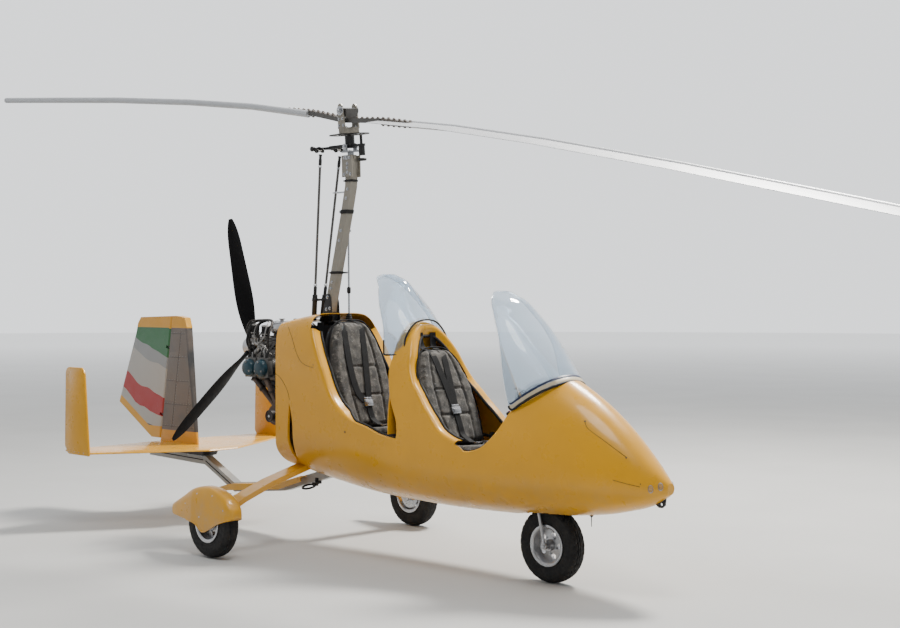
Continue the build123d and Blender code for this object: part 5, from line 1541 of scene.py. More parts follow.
# collars and forks of the control crossbar
g, m = Geo(), Geo()
for sgn in (-1, 1):
    g.lathe([(0.0, -0.001), (0.012, -0.001), (0.016, 0.001), (0.0165, 0.009), (0.014, 0.013), (0.006, 0.015), (0.0, 0.015)], H(-236, sgn * 102, 74), PY * sgn, 24)
    for y in (56, 104):
        out = round_outline([(-247, 62), (-247, 86), (-221, 86), (-184, 66), (-184, 46), (-208, 46), (-226, 62)], 6.0, 4)
        prism(g, out, lambda a, b, h, y=y, sgn=sgn: H(a, sgn * (y - 2 + h), b), 4.0)
    m.lathe([(0.0, -0.0300), (0.008, -0.0300), (0.008, -0.0265), (0.0045, -0.0265), (0.0045, 0.0265), (0.008, 0.0265), (0.008, 0.0300), (0.0, 0.0300)], H(-196, sgn * 80, 58), PY, 20)
g.box(H(-118, 0, 84), (0.150, 0.010, 0.006), 0.0015, basis(HX, PY, SZ))
g.lathe([(0.0, 0.0), (0.020, 0.0), (0.026, 0.004), (0.026, 0.014), (0.020, 0.018), (0.0, 0.018)], H(104, 0, -8), SZ * -1, 28)
g.done("crossbar_forks", "head_pitch", "black_metal", "dark_steel", 30, (), 0.0007)
for x, y in ((-18, -24), (18, -24), (-18, 24), (18, 24)):
    m.bolt(H(x, y, 84), SZ, 0.005, 0.004)
for k in range(6):
    a = math.pi / 3 * k + 0.3
    m.bolt(H(math.cos(a) * 23, math.sin(a) * 23, 134), SZ, 0.0032, 0.003, False)
m.done("head_pins_and_bolts", "head_pitch", "steel_dark", "dark_steel", 30)
g = Geo()
for sgn in (-1, 1):
    for x in (-28, 28):
        g.bolt(H(x, sgn * 34, 42), SZ, 0.0055, 0.005)
    g.bolt(H(0, sgn * 45, 70), PY * sgn, 0.011, 0.008)
g.done("yoke_bolts", "head_roll", "steel", "steel", 30)

# rod ends, top and foot
g, m = Geo(), Geo()
ROD_LOW, ROD_HIGH = (-36, 40, 1550), (66, 80, 2440)
for sgn in (-1, 1):
    low, high = P(ROD_LOW[0], sgn * ROD_LOW[1], ROD_LOW[2]), P(ROD_HIGH[0], sgn * ROD_HIGH[1], ROD_HIGH[2])
    way = (high - low).normalized()
    g.lathe([(0.0, -0.070), (0.0088, -0.070), (0.0105, -0.066), (0.0105, -0.034), (0.0088, -0.030), (0.0088, -0.012), (0.011, -0.008), (0.011, -0.002), (0.008, 0.0), (0.0, 0.0)], high, way, 20)
    m.bolt(high - way * 0.086, way, 0.0115, 0.012, False)
    g.lathe([(0.0, 0.0), (0.009, 0.001), (0.0108, 0.006), (0.0108, 0.060), (0.009, 0.064), (0.0, 0.064)], low, way, 20)
    m.bolt(low + way * 0.066, way, 0.0115, 0.012, False)
g.done("rod_end_sleeves", "control_rods", "black_metal", "dark_steel", 40)
m.done("rod_lock_nuts", "control_rods", "steel", "steel", 30)

# fittings on the mast: bands, plate, bolts, foot plates, rod guides, boot
def mast_at(z):
    return float(np.interp(z, [523, 1000, 1500, 2060, 2230, 2380], [-12, 12, 76, 222, 262, 272]))


g, m, rub_ = Geo(), Geo(), Geo()
for z, tall in ((2077, 24), (2267, 13), (1700, 16)):
    c = mast_at(z)
    out = round_outline([(c - 30, -30), (c + 30, -30), (c + 30, 30), (c - 30, 30)], 7.0, 5)
    rows = []
    for dz, grow in ((-tall / 2, 0), (-tall / 2 + 2, 1.5), (tall / 2 - 2, 1.5), (tall / 2, 0)):
        rows.append([P(c + (a - c) * (1 + grow / 30) + dz * 0.24, b * (1 + grow / 30), z + dz) for a, b in out])
    bar(rub_, rows)
    g.box(P(c - 34, -20, z), (0.012, 0.020, tall / 1300), 0.002)
    m.bolt(P(c - 34, -30, z), (0, -1, 0), 0.004, 0.004)
# steady plate aft of the mast
rows = []
for a, half, t_ in ((mast_at(2200) - 26, 16, 4), (150, 15, 4), (112, 14, 3.5), (98, 9, 3)):
    rows.append([P(a, -half, 2200 - t_), P(a, -half, 2200 + t_), P(a, half, 2200 + t_), P(a, half, 2200 - t_)])
bar(m, rows)
m.bolt(P(120, 0, 2203), (0, 0, 1), 0.005, 0.004)
m.bolt(P(205, 0, 2204), (0, 0, 1), 0.005, 0.004)
# bolts of the head plates
for sgn in (-1, 1):
    for x, z in ((-22, 2408), (24, 2408), (0, 2410), (6, 2372), (6, 2346), (6, 2318), (-20, 2306), (34, 2306)):
        m.bolt(P(262 + x, sgn * 37, z), (0, sgn, 0), 0.009 if z == 2410 else 0.006, 0.006)
for z in (2215, 2160, 1960, 1900, 1640, 1600):
    m.bolt(P(mast_at(z), -27, z), (0, -1, 0), 0.006, 0.005)
    m.bolt(P(mast_at(z), 27, z), (0, 1, 0), 0.006, 0.005)
# foot plates either side of the mast, bolted through
for sgn in (-1, 1):
    out = round_outline([(18, 1386), (120, 1386), (122, 1420), (112, 1520), (96, 1566), (62, 1566), (44, 1500), (22, 1424)], 9.0, 4)
    prism(g, out, lambda a, b, h, sgn=sgn: P(a, sgn * (28.2 + h), b), 5.0)
    for x, z in ((50, 1410), (96, 1410), (66, 1470), (98, 1476), (76, 1546)):
        m.bolt(P(x, sgn * 33.2, z), (0, sgn, 0), 0.0065, 0.006)
    # guide sleeve that each rod slides in, and its clamp back to the foot plates
    low, high = P(ROD_LOW[0], sgn * ROD_LOW[1], ROD_LOW[2]), P(ROD_HIGH[0], sgn * ROD_HIGH[1], ROD_HIGH[2])
    way = (high - low).normalized()
    g.lathe([(0.0128, -0.150), (0.0165, -0.150), (0.0165, -0.030), (0.0185, -0.028), (0.0185, -0.012), (0.0165, -0.010), (0.0165, 0.008), (0.0148, 0.012), (0.0128, 0.012)], low, way, 28)
    rows = []
    for t_, half in ((0.0, 9), (0.5, 7), (1.0, 8)):
        a = -36 - 2.3 + 14 + (46 - (-36 + 12)) * t_
        y = 40 - 0.9 + (36 - 40) * t_
        rows.append([P(a, sgn * (y - 6), 1530 - half), P(a, sgn * (y - 6), 1530 + half), P(a, sgn * (y + 4), 1530 + half), P(a, sgn * (y + 4), 1530 - half)])
    bar(g, rows)
g.done("mast_foot_plates", "airframe", "black_metal", "dark_steel", 30, (), 0.0008)
# ribbed boot round the mast where it leaves the deck
rows = []
for z, grow in ((1236, 2.5), (1300, 3.5), (1374, 4.0), (1386, 8), (1392, 22), (1398, 24), (1404, 20), (1411, 21), (1417, 16), (1424, 17), (1430, 12), (1437, 12), (1446, 7), (1452, 5.5)):
    c = mast_at(z)
    out = round_outline([(c - 27 - grow, -27 - grow), (c + 27 + grow * 0.8, -27 - grow), (c + 27 + grow * 0.8, 27 + grow), (c - 27 - grow, 27 + grow)], 12.0, 5)
    rows.append([P(a, b, z) for a, b in out])
# coupling, joints and clamps of the thin drive shaft
rub_.lathe([(0.0, -0.026), (0.020, -0.024), (0.021, -0.016), (0.017, -0.012), (0.018, -0.004), (0.013, 0.000), (0.014, 0.008), (0.0075, 0.014), (0.0, 0.014)], P(196, 42, 1432), (0, 0, 1), 24)
rub_.lathe([(0.0, -0.022), (0.009, -0.020), (0.0125, -0.014), (0.0125, 0.014), (0.009, 0.020), (0.0, 0.022)], P(194.1, 42, 1590), (0, 0, 1), 24)
m.lathe([(0.0, 0.0), (0.0095, 0.0), (0.0105, 0.003), (0.0105, 0.020), (0.007, 0.024), (0.0, 0.025)], P(190, 42, 1982), (0, 0, 1), 24)
m.box(P(197, 35, 1960), (0.034, 0.020, 0.016), 0.003)
m.box(P(160, 35, 1700), (0.070, 0.016, 0.012), 0.002)
rub_.done("mast_bands_and_boots", "airframe", "hose", "black_composite", 40)
m.done("mast_bolts", "airframe", "steel", "steel", 30)
g = Geo()
bar(g, rows)
g.done("mast_deck_boot", "airframe", "hose", "black_composite", 50)


# ---------------------------------------------------------------- engine
def smooth_tube(g, pts, r, segs=14, step=0.008):
    g.tube([Vector(p) for p in smooth_line([tuple(p) for p in pts], step)], r, segs)


fins, heads, covers, tin, black, pipe, pipes = Geo(), Geo(), Geo(), Geo(), Geo(), Geo(), Geo()
for sgn in (-1, 1):
    for x in (-326, -450):
        prof = [(0.0, 0.0)]
        y = 0.002
        while y < 0.092:
            prof += [(0.044, y), (0.0555, y + 0.0008), (0.0555, y + 0.0028), (0.044, y + 0.0036)]
            y += 0.0078
        prof += [(0.044, 0.0955), (0.0, 0.0955)]
        fins.lathe(prof, P(x, sgn * 95, 1100), (0, sgn, 0), 56)
        # head with cooling ribs above and below
        c = P(x - (x + 388) * 0.02, sgn * 212.5, 1096)
        heads.box(c, (0.116, 0.045, 0.092), 0.010)
        for k in range(6):
            heads.box(P(x, sgn * (193.5 + k * 7.6), 1096), (0.110, 0.0030, 0.126), 0.0012)
        # rocker cover, domed, with three bolts
        covers.lathe([(0.0, 0.0), (0.0545, 0.0), (0.0565, 0.002), (0.0565, 0.006), (0.0545, 0.010), (0.0530, 0.020), (0.0490, 0.029), (0.0410, 0.0345), (0.030, 0.037), (0.0, 0.038)],
                     P(x, sgn * 235, 1094), (0, sgn, 0), 56)
        for a in (90, 210, 330):
            a = math.radians(a)
            tin.bolt(P(x + math.cos(a) * 36, sgn * 269.5, 1094 + math.sin(a) * 36), (0, sgn, 0), 0.0045, 0.004)
        # plugs and their leads
        for dx in (-24, 22):
            black.lathe([(0.0, 0.0), (0.0075, 0.0), (0.0085, 0.004), (0.0080, 0.026), (0.005, 0.032), (0.0, 0.033)], P(x + dx, sgn * 214, 1150), (0, sgn * 0.25, 1), 14)
            smooth_tube(black, [P(x + dx, sgn * 222, 1180), P(x + dx * 0.6, sgn * 214, 1224), P(-400 + (x + 400) * 0.5, sgn * 150, 1262), P(-392 + (x + 392) * 0.28 + dx * 0.3, sgn * 92, 1270)], 0.0036, 8)
        # intake elbow up from the head
        smooth_tube(tin, [P(x - 4, sgn * 204, 1150), P(x - 6, sgn * 196, 1182), P(-398 + (x + 398) * 0.45, sgn * 190, 1206), P(-398 + (x + 398) * 0.25, sgn * 190, 1222)], 0.0155, 18)
        tin.lathe([(0.0, 0.0), (0.024, 0.0), (0.025, 0.002), (0.025, 0.006), (0.0, 0.006)], P(x - 4, sgn * 204, 1156), (0, 0, 1), 24)
    # carburettor: body, float bowl, dome, clamp bands and levers
    o = P(-398, sgn * 190, 1218)
    tin.lathe([(0.0, 0.0), (0.026, 0.0), (0.027, 0.003), (0.022, 0.006), (0.022, 0.016), (0.027, 0.020), (0.027, 0.038), (0.0225, 0.042), (0.0225, 0.058), (0.026, 0.060), (0.026, 0.066), (0.0, 0.066)], o, (0, 0, 1), 32)
    tin.lathe([(0.0, 0.0), (0.021, 0.0), (0.023, 0.003), (0.023, 0.020), (0.018, 0.026), (0.0, 0.028)], P(-398 - 18, sgn * 190, 1250), (-1, 0, 0.15), 28)
    tin.lathe([(0.0, 0.0), (0.020, 0.0), (0.020, 0.010), (0.014, 0.018), (0.0, 0.020)], P(-398 + 18, sgn * 190, 1248), (1, 0, 0), 24)
    tin.box(P(-398, sgn * 218, 1246), (0.036, 0.004, 0.012), 0.001)
    tin.bolt(P(-386, sgn * 220, 1246), (0, sgn, 0), 0.0045, 0.004)
    # ribbed air filter above it with a bright end cap
    for x, top_ in ((-452, 8), (-348, 0)):
        prof = [(0.0, 0.0), (0.022, 0.0)]
        for k in range(9):
            z = 0.004 + k * 0.0066
            prof += [(0.0245, z), (0.0285 - 0.0002 * k, z + 0.0028)]
        prof += [(0.024, 0.064), (0.0, 0.064)]
        black.lathe(prof, P(x, sgn * 190, 1294 + top_), (0, 0, 1), 36)
        tin.lathe([(0.0, 0.0), (0.0265, 0.0), (0.0275, 0.002), (0.0275, 0.006), (0.024, 0.010), (0.009, 0.012), (0.0, 0.0122)], P(x, sgn * 190, 1357 + top_), (0, 0, 1), 36)
        tin.lathe([(0.0288, 0.0), (0.0296, 0.0005), (0.0296, 0.0065), (0.0288, 0.007)], P(x, sgn * 190, 1306 + top_), (0, 0, 1), 36)
        tin.box(P(x - 2, sgn * 219.5, 1309 + top_), (0.014, 0.006, 0.009), 0.0015)
        tin.lathe([(0.0, 0.0), (0.0255, 0.0), (0.0255, 0.008 + top_ / 1000), (0.0, 0.008 + top_ / 1000)], P(x, sgn * 190, 1288), (0, 0, 1), 36)
    # manifold box under the two filters
    tin.box(P(-400, sgn * 184, 1286), (0.150, 0.050, 0.016), 0.006)
    # bent guard and breather pipes round the top of the engine
    smooth_tube(pipes, [P(-520, sgn * 150, 1218), P(-534, sgn * 176, 1270), P(-530, sgn * 196, 1340), P(-505, sgn * 188, 1388), P(-470, sgn * 150, 1396)], 0.0085, 12)
    smooth_tube(pipes, [P(-470, sgn * 150, 1396), P(-430, sgn * 120, 1398), P(-380, sgn * 118, 1396), P(-330, sgn * 150, 1380), P(-306, sgn * 190, 1330), P(-304, sgn * 206, 1270), P(-312, sgn * 200, 1210)], 0.0085, 12)
    smooth_tube(pipes, [P(-488, sgn * 206, 1226), P(-492, sgn * 214, 1290), P(-488, sgn * 208, 1350), P(-460, sgn * 176, 1392), P(-420, sgn * 150, 1396)], 0.0095, 12)
    smooth_tube(pipes, [P(-398, sgn * 208, 1284), P(-402, sgn * 214, 1330), P(-396, sgn * 200, 1376), P(-372, sgn * 160, 1398)], 0.0095, 12)
    smooth_tube(tin, [P(-424, sgn * 214, 1262), P(-428, sgn * 218, 1310), P(-420, sgn * 206, 1362), P(-400, sgn * 176, 1394)], 0.0048, 10)
    smooth_tube(tin, [P(-372, sgn * 214, 1256), P(-320, sgn * 218, 1300), P(-316, sgn * 208, 1352), P(-332, sgn * 170, 1390)], 0.0052, 10)
    smooth_tube(black, [P(-536, sgn * 120, 1180), P(-530, sgn * 172, 1216), P(-506, sgn * 214, 1262), P(-476, sgn * 220, 1330), P(-456, sgn * 206, 1388)], 0.0100, 12)
    smooth_tube(black, [P(-400, sgn * 221, 1290), P(-398, sgn * 217, 1340), P(-380, sgn * 190, 1394), P(-350, sgn * 150, 1392)], 0.0065, 10)
    smooth_tube(tin, [P(-340, sgn * 218, 1240), P(-318, sgn * 216, 1226), P(-300, sgn * 200, 1190), P(-298, sgn * 180, 1176)], 0.0070, 12)
    # hoses between heads, tank and pump
    smooth_tube(black, [P(-512, sgn * 214, 1100), P(-530, sgn * 200, 1128), P(-532, sgn * 150, 1200), P(-520, sgn * 84, 1270), P(-500, sgn * 62, 1330)], 0.0085, 12)
    smooth_tube(black, [P(-300, sgn * 226, 1136), P(-296, sgn * 214, 1190), P(-302, sgn * 150, 1250), P(-322, sgn * 84, 1300), P(-340, sgn * 56, 1340)], 0.0080, 12)
    smooth_tube(black, [P(-380, sgn * 222, 1262), P(-372, sgn * 218, 1300), P(-402, sgn * 140, 1350), P(-420, sgn * 70, 1352)], 0.0045, 10)
    smooth_tube(tin, [P(-470, sgn * 190, 1236), P(-505, sgn * 176, 1246), P(-520, sgn * 120, 1238), P(-516, sgn * 60, 1226)], 0.0038, 10)
fins.done("cylinder_barrels", "airframe", "cast", "engine_grey", 30, ("engine_cylinders",))
heads.done("cylinder_heads", "airframe", "cast", "engine_grey", 35)
covers.done("rocker_covers", "airframe", "teal", "teal_cover", 40)
# coil box with cooling ribs, header tank with neck and cap, starter
coil = Geo()
coil.box(P(-392, 0, 1258), (0.150, 0.160, 0.052), 0.008)
for k in range(9):
    coil.box(P(-452 + k * 15, 0, 1289), (0.004, 0.146, 0.016), 0.001)
coil.box(P(-500, 0, 1236), (0.060, 0.120, 0.036), 0.006)
coil.lathe([(0.0, 0.0), (0.030, 0.0), (0.032, 0.004), (0.032, 0.094), (0.028, 0.100), (0.012, 0.104), (0.012, 0.118), (0.0, 0.118)], P(-560, 50, 1028), (1, 0, 0), 32)
coil.done("coil_box_and_starter", "airframe", "cast", "engine_grey", 30)
tank = Geo()
tank.lathe([(0.0, 0.0), (0.030, 0.0), (0.040, 0.004), (0.044, 0.012), (0.044, 0.142), (0.040, 0.152), (0.028, 0.158), (0.0, 0.159)], P(-496, 0, 1348), (1, 0, 0), 40)
tank.lathe([(0.0, 0.0), (0.013, 0.0), (0.013, 0.014), (0.019, 0.015), (0.020, 0.018), (0.020, 0.0215), (0.0, 0.0215)], P(-416, 0, 1386), (0, 0, 1), 28)
for x in (-470, -364):
    tank.lathe([(0.0442, 0.0), (0.0462, 0.0005), (0.0462, 0.0095), (0.0442, 0.010)], P(x, 0, 1348), (1, 0, 0), 40)
    tank.box(P(x + 5, 0, 1302), (0.010, 0.060, 0.024), 0.002)
tank.done("header_tank", "airframe", "alu", "silver_metal", 35)
tin.done("carburettors_and_pipes", "airframe", "engine_bright", "silver_metal", 30)
pipes.done("bent_engine_pipes", "airframe", "pipe_dark", "dark_steel", 40)
black.done("filters_leads_and_hoses", "airframe", "hose", "black_composite", 40, ("intake_boxes",))
# block: ribs, sump bolts, case joint
g = Geo()
for k in range(7):
    g.box(P(-552 + k * 44, 0, 1212), (0.005, 0.120, 0.006), 0.001)
for sgn in (-1, 1):
    for k in range(7):
        g.bolt(P(-565 + k * 48, sgn * 95, 1032), (0, sgn, 0), 0.0055, 0.005)
        g.bolt(P(-565 + k * 48, sgn * 95, 1178), (0, sgn, 0), 0.0055, 0.005)
for k in range(12):
    a = 2 * math.pi * k / 12
    y, z = math.cos(a) * 76, 1160 + math.sin(a) * 106
    g.bolt(P(-655, y * (0.96 if abs(math.sin(a)) > 0.9 else 1) * 0.93, z * 1.0), (-1, 0, 0), 0.0055, 0.005)
g.lathe([(0.0, 0.0), (0.045, 0.0), (0.047, 0.003), (0.047, 0.008), (0.030, 0.012), (0.0, 0.013)], P(-655, 0, 1096), (-1, 0, 0), 36)
for k in range(6):
    a = math.pi / 3 * k
    g.bolt(P(-662, math.cos(a) * 38, 1096 + math.sin(a) * 38), (-1, 0, 0), 0.004, 0.004)
g.done("engine_case_bolts", "airframe", "engine_bright", "silver_metal", 30)
# silencer: end caps, seams, outlet with a dark mouth
g = Geo()
for sgn in (-1, 1):
    g.lathe([(0.0615, 0.0), (0.0645, 0.001), (0.0645, 0.008), (0.0615, 0.009)], P(-262, sgn * 176, 796), (0, sgn, 0), 44)
    g.lathe([(0.0615, 0.0), (0.0635, 0.001), (0.0635, 0.004), (0.0615, 0.005)], P(-262, sgn * 60, 796), (0, sgn, 0), 44)
g.lathe([(0.0342, 0.0), (0.0385, 0.0), (0.0390, 0.004), (0.0385, 0.052), (0.0345, 0.0545), (0.0305, 0.0535), (0.0300, 0.049), (0.0342, 0.049)], P(-248, -190, 792), (0, -1, 0), 40)
for sgn in (-1, 1):
    for x in (-326, -450):
        top, foot = P(x, sgn * 205, 1033), P(-276, sgn * 130, 815)
        d = (foot - top).normalized()
        g.lathe([(0.0192, 0.0), (0.0275, 0.0), (0.0275, 0.007), (0.0192, 0.007)], top + d * 0.006, d, 24)
        g.lathe([(0.0192, 0.0), (0.0235, 0.001), (0.0235, 0.016), (0.0192, 0.017)], top + d * 0.090, d, 24)
g.done("silencer_bands", "airframe", "pipe_dark", "dark_steel", 35)
g = Geo()
g.lathe([(0.0, 0.0), (0.0285, 0.0), (0.0285, 0.002), (0.010, 0.006), (0.0, 0.007)], P(-248, -240, 792) + Vector((0, 0.003, 0)), (0, -1, 0), 32)
g.done("silencer_mouth", "airframe", "pipe_dark", "dark_steel", 35)
g = Geo()
g.lathe([(0.0, 0.0), (0.0085, 0.0), (0.0085, 0.003), (0.004, 0.006), (0.0, 0.0065)], P(-248, -241, 792), (0, -1, 0), 24)
g.done("silencer_core", "airframe", "alu", "silver_metal", 35)
# propeller hub: bolts on its face and either side of each blade root
g = Geo()
for k in range(6):
    a = math.pi / 3 * k
    o = P(-766, math.cos(a) * 30, 1218 + math.sin(a) * 30)
    g.bolt(P(-765, math.cos(a) * 30, 1218 + math.sin(a) * 30), (-1, 0, 0), 0.0062, 0.0008)
for k in range(3):
    a = math.radians(12.2 + 120 * k)
    d = Vector((0, -math.sin(a), math.cos(a)))
    o = P(-726, 0, 1218)
    for q in (-1, 1):
        w = d.cross(Vector((1, 0, 0)))
        g.bolt(o + d * 0.040 + w * q * 0.026 + Vector((-0.0318, 0, 0)), (-1, 0, 0), 0.005, 0.005)
        g.bolt(o + d * 0.040 + w * q * 0.026 + Vector((0.0275, 0, 0)), (1, 0, 0), 0.005, 0.005)
g.done("propeller_bolts", "propeller", "steel", "steel", 30)


# ---------------------------------------------------------------- seams, lamps and fittings of the pod
def seam_points(pts, sign, step=0.012, lift=0.0):
    out = []
    for s_, z_ in smooth_line(pts, 10.0):
        p = pod_side(s_, z_, sign)
        out.append(p + pod_normal(p) * lift)
    return even(out, step)


g, m = Geo(), Geo()
for sgn in (-1, 1):
    for pts in ([(-21, 1360), (34, 1300), (92, 1204), (138, 1153), (196, 1129), (262, 1120)],
                [(2237, 896), (2246, 879), (2357, 808), (2473, 732)],
                [(2429, 618), (2500, 602), (2558, 590)],
                [(-128, 1066), (-89, 1052), (-26, 1001), (12, 948), (22, 912)]):
        g.tube(seam_points(pts, sgn, lift=0.0002), 0.0013, 6)
    for s_, z_, r_ in ((2234, 902, 0.007), (2473, 730, 0.006), (567, 750, 0.008), (262, 1136, 0.004), (60, 1230, 0.004), (2560, 604, 0.004)):
        p = pod_side(s_, z_, sgn)
        m.dome(p + pod_normal(p) * 0.0004, pod_normal(p), r_ * 0.8, r_ * 0.22, 14)
g.done("pod_panel_seams", "airframe", "hose", "black_composite", 60)
m.done("pod_fasteners", "airframe", "steel_dark", "dark_steel", 40)
# small oval lamps in the nose, each a bright bezel round a lens
g, lens = Geo(), Geo()
for sgn in (-1, 1):
    for s_, z_ in ((2603, 580), (2641, 592)):
        o = pod_side(s_, z_, sgn)
        nrm = pod_normal(o)
        u = Vector((0, 0, 1))
        u = (u - nrm * u.dot(nrm)).normalized()
        w = nrm.cross(u)
        for geo, prof in ((g, [(0.0150, -0.004), (0.0182, -0.002), (0.0182, 0.0015), (0.0165, 0.0030), (0.0150, 0.0020)]), (lens, [(0.0001, 0.0045), (0.006, 0.0042), (0.011, 0.0030), (0.0152, 0.0008), (0.0152, -0.004), (0.0001, -0.004)])):
            verts, faces = [], []
            n = len(prof)
            for k in range(40):
                a = 2 * math.pi * k / 40
                for r_, h in prof:
                    verts.append(o + u * math.cos(a) * r_ * 1.12 + w * math.sin(a) * r_ * 0.74 + nrm * h)
            for k in range(40):
                for j in range(n):
                    faces.append((k * n + j, k * n + (j + 1) % n, ((k + 1) % 40) * n + (j + 1) % n, ((k + 1) % 40) * n + j))
            geo.add(verts, faces)
g.done("nose_lamp_bezels", "airframe", "alu_dark", "silver_metal", 40)
lens.done("nose_lamp_lenses", "airframe", "lamp", "clear_screen", 50)
# short aerial under the nose, and the tie-down ring under the belly
g = Geo()
g.lathe([(0.0, 0.0), (0.010, 0.0), (0.011, -0.002), (0.008, -0.007), (0.0028, -0.010), (0.0018, -0.060), (0.0, -0.061)], P(2161, 0, 393), (0, 0, 1), 16)
c = P(-30, -96, 352)
ring = [c + Vector((math.cos(a) * 0.040, math.sin(a) * 0.040, math.sin(a) * 0.010)) for a in np.linspace(0, 2 * math.pi, 49)[:-1]]
g.tube(ring, 0.0065, 12, True)
g.box(c + Vector((0.0, 0.052, 0.010)), (0.034, 0.030, 0.022), 0.004)
g.box(c + Vector((0.0, 0.078, 0.030)), (0.030, 0.034, 0.040), 0.004)
g.done("belly_fittings", "airframe", "hose", "black_composite", 40)
# grey trim strips on the sills, seen through both openings
g = Geo()
for sgn in (-1, 1):
    for lo, hi in ((600, 872), (1440, 1668)):
        rows = []
        line = [q for q in smooth_line(SILL, 14.0) if lo <= q[0] <= hi]
        for k, (s_, z_) in enumerate(line):
            p = pod_side(s_, z_ - 4, sgn)
            y_in = Vector((0, -sgn, 0))
            taper = min(1.0, k / 3, (len(line) - 1 - k) / 3) * 0.75 + 0.25
            a = p + y_in * 0.012 + Vector((0, 0, 0.0035))
            b_ = p + y_in * (0.014 + 0.052 * taper) + Vector((0, 0, 0.0015))
            rows.append([a + Vector((0, 0, -0.004)), a, b_, b_ + Vector((0, 0, -0.006))])
        bar(g, rows)
g.done("sill_trim", "airframe", "grey_strip", "silver_metal", 40)


# ---------------------------------------------------------------- instruments and controls
def dial(o, axis, r, marks, hand, bez, face, white):
    axis = Vector(axis).normalized()
    up = Vector((0, 0, 1))
    w = axis.cross(up)
    bez.lathe([(r * 0.86, 0.0), (r * 1.08, 0.0), (r * 1.10, 0.002), (r * 1.06, 0.006), (r * 0.92, 0.008), (r * 0.86, 0.005)], o, axis, 36)
    face.lathe([(0.0, -0.001), (r * 0.9, -0.001), (r * 0.9, 0.002), (0.0, 0.002)], o, axis, 36)
    for k in range(marks):
        a = math.radians(-135 + 270 * k / (marks - 1))
        d = up * math.cos(a) + w * math.sin(a)
        t = axis.cross(d)
        long = 0.20 if k % 3 == 0 else 0.12
        p0, p1 = o + d * r * 0.82 + axis * 0.0026, o + d * r * (0.82 - long) + axis * 0.0026
        h = r * 0.022
        white.add([p0 + t * h, p0 - t * h, p1 - t * h, p1 + t * h, p0 + t * h - axis * 0.0008, p0 - t * h - axis * 0.0008, p1 - t * h - axis * 0.0008, p1 + t * h - axis * 0.0008],
                  [(0, 1, 2, 3), (7, 6, 5, 4), (0, 4, 5, 1), (1, 5, 6, 2), (2, 6, 7, 3), (3, 7, 4, 0)])
    a = math.radians(hand)
    d = up * math.cos(a) + w * math.sin(a)
    t = axis.cross(d)
    white.add([o + d * r * 0.66 + axis * 0.0036, o + t * r * 0.04 + axis * 0.0036, o - d * r * 0.16 + axis * 0.0036, o - t * r * 0.04 + axis * 0.0036,
               o + d * r * 0.66 + axis * 0.0028, o + t * r * 0.04 + axis * 0.0028, o - d * r * 0.16 + axis * 0.0028, o - t * r * 0.04 + axis * 0.0028],
              [(0, 1, 2, 3), (7, 6, 5, 4), (0, 4, 5, 1), (1, 5, 6, 2), (2, 6, 7, 3), (3, 7, 4, 0)])
    bez.lathe([(0.0, 0.0028), (r * 0.07, 0.0028), (r * 0.07, 0.0052), (0.0, 0.0056)], o, axis, 14)


bez, face, white, sw = Geo(), Geo(), Geo(), Geo()
for y, z, r_, hand in ((-130, 1000, 40, 200), (-38, 1000, 40, -60), (54, 1000, 40, 30), (138, 1000, 30, -110), (-138, 908, 28, 40), (-68, 908, 28, -20), (2, 908, 28, 100), (72, 908, 28, -130), (140, 908, 28, 10)):
    dial(P(1799.5, y, z), (-1, 0, 0), r_ / 1000, 13, hand, bez, face, white)
for y, z, r_, hand in ((-44, 1215, 30, -70), (44, 1215, 30, 50)):
    dial(P(831.5, y, z), (-1, 0, 0), r_ / 1000, 13, hand, bez, face, white)
for k in range(8):
    o = P(1799, -150 + k * 40, 838)
    sw.lathe([(0.0, 0.0), (0.0075, 0.0), (0.0075, 0.003), (0.004, 0.004), (0.0, 0.004)], o, (-1, 0, 0), 16)
    sw.lathe([(0.0, 0.0), (0.002, 0.0), (0.0032, 0.014), (0.0, 0.016)], o, Vector((-1, 0, 0.45 if k % 3 else -0.45)), 10)
for y in (-190, 190):
    for z in (780, 1055):
        sw.bolt(P(1799.5, y, z), (-1, 0, 0), 0.0045, 0.003)
bez.done("dial_bezels", "airframe", "black_plastic", "black_composite", 35)
face.done("dial_faces", "airframe", "dial", "black_composite", 35)
white.done("dial_marks", "airframe", "white_mark", "silver_metal", None)
sw.done("panel_switches", "airframe", "steel", "steel", 30)
g, m, red = Geo(), Geo(), Geo()
for x0, x1, z1, x2, z2 in ((1700, 1665, 640, 1615, 800), (935, 915, 640, 865, 820)):
    d = Vector((x2 - x1, 0, z2 - z1)).normalized()
    o = P(x2, 0, z2)
    prof = [(0.0175, 0.004)]
    for k in range(9):
        h = 0.010 + k * 0.0095
        prof += [(0.0195, h), (0.0205, h + 0.0035), (0.0186, h + 0.007)]
    prof += [(0.0215, 0.100), (0.022, 0.106), (0.018, 0.1125), (0.0, 0.1135), (0.0, 0.004)]
    g.lathe(prof[::-1], o, d, 28)
    red.lathe([(0.0, 0.0), (0.006, 0.0), (0.006, 0.004), (0.004, 0.0055), (0.0, 0.006)], o + d * 0.112 + Vector((-0.004, 0, 0)), d, 16)
    prof = [(0.0, -0.002), (0.052, -0.002), (0.052, 0.003)]
    for k in range(5):
        h = 0.006 + k * 0.012
        prof += [(0.046 - k * 0.0068, h), (0.042 - k * 0.0068, h + 0.006)]
    prof += [(0.0125, 0.068), (0.0, 0.068)]
    g.lathe(prof, P(x0, 0, 474.5), Vector((x1 - x0, 0, z1 - 478)).normalized(), 36)
for y in (-95, 95):
    for k in range(5):
        a = 2021 + k * 3.6
        z = 630 + k * 14
        g.box(P(a - 16.2 + 3, y, z), (0.006, 0.074, 0.005), 0.0012)
    m.tube([P(1982, y - 44, 492), P(1982, y + 44, 492)], 0.007, 16)
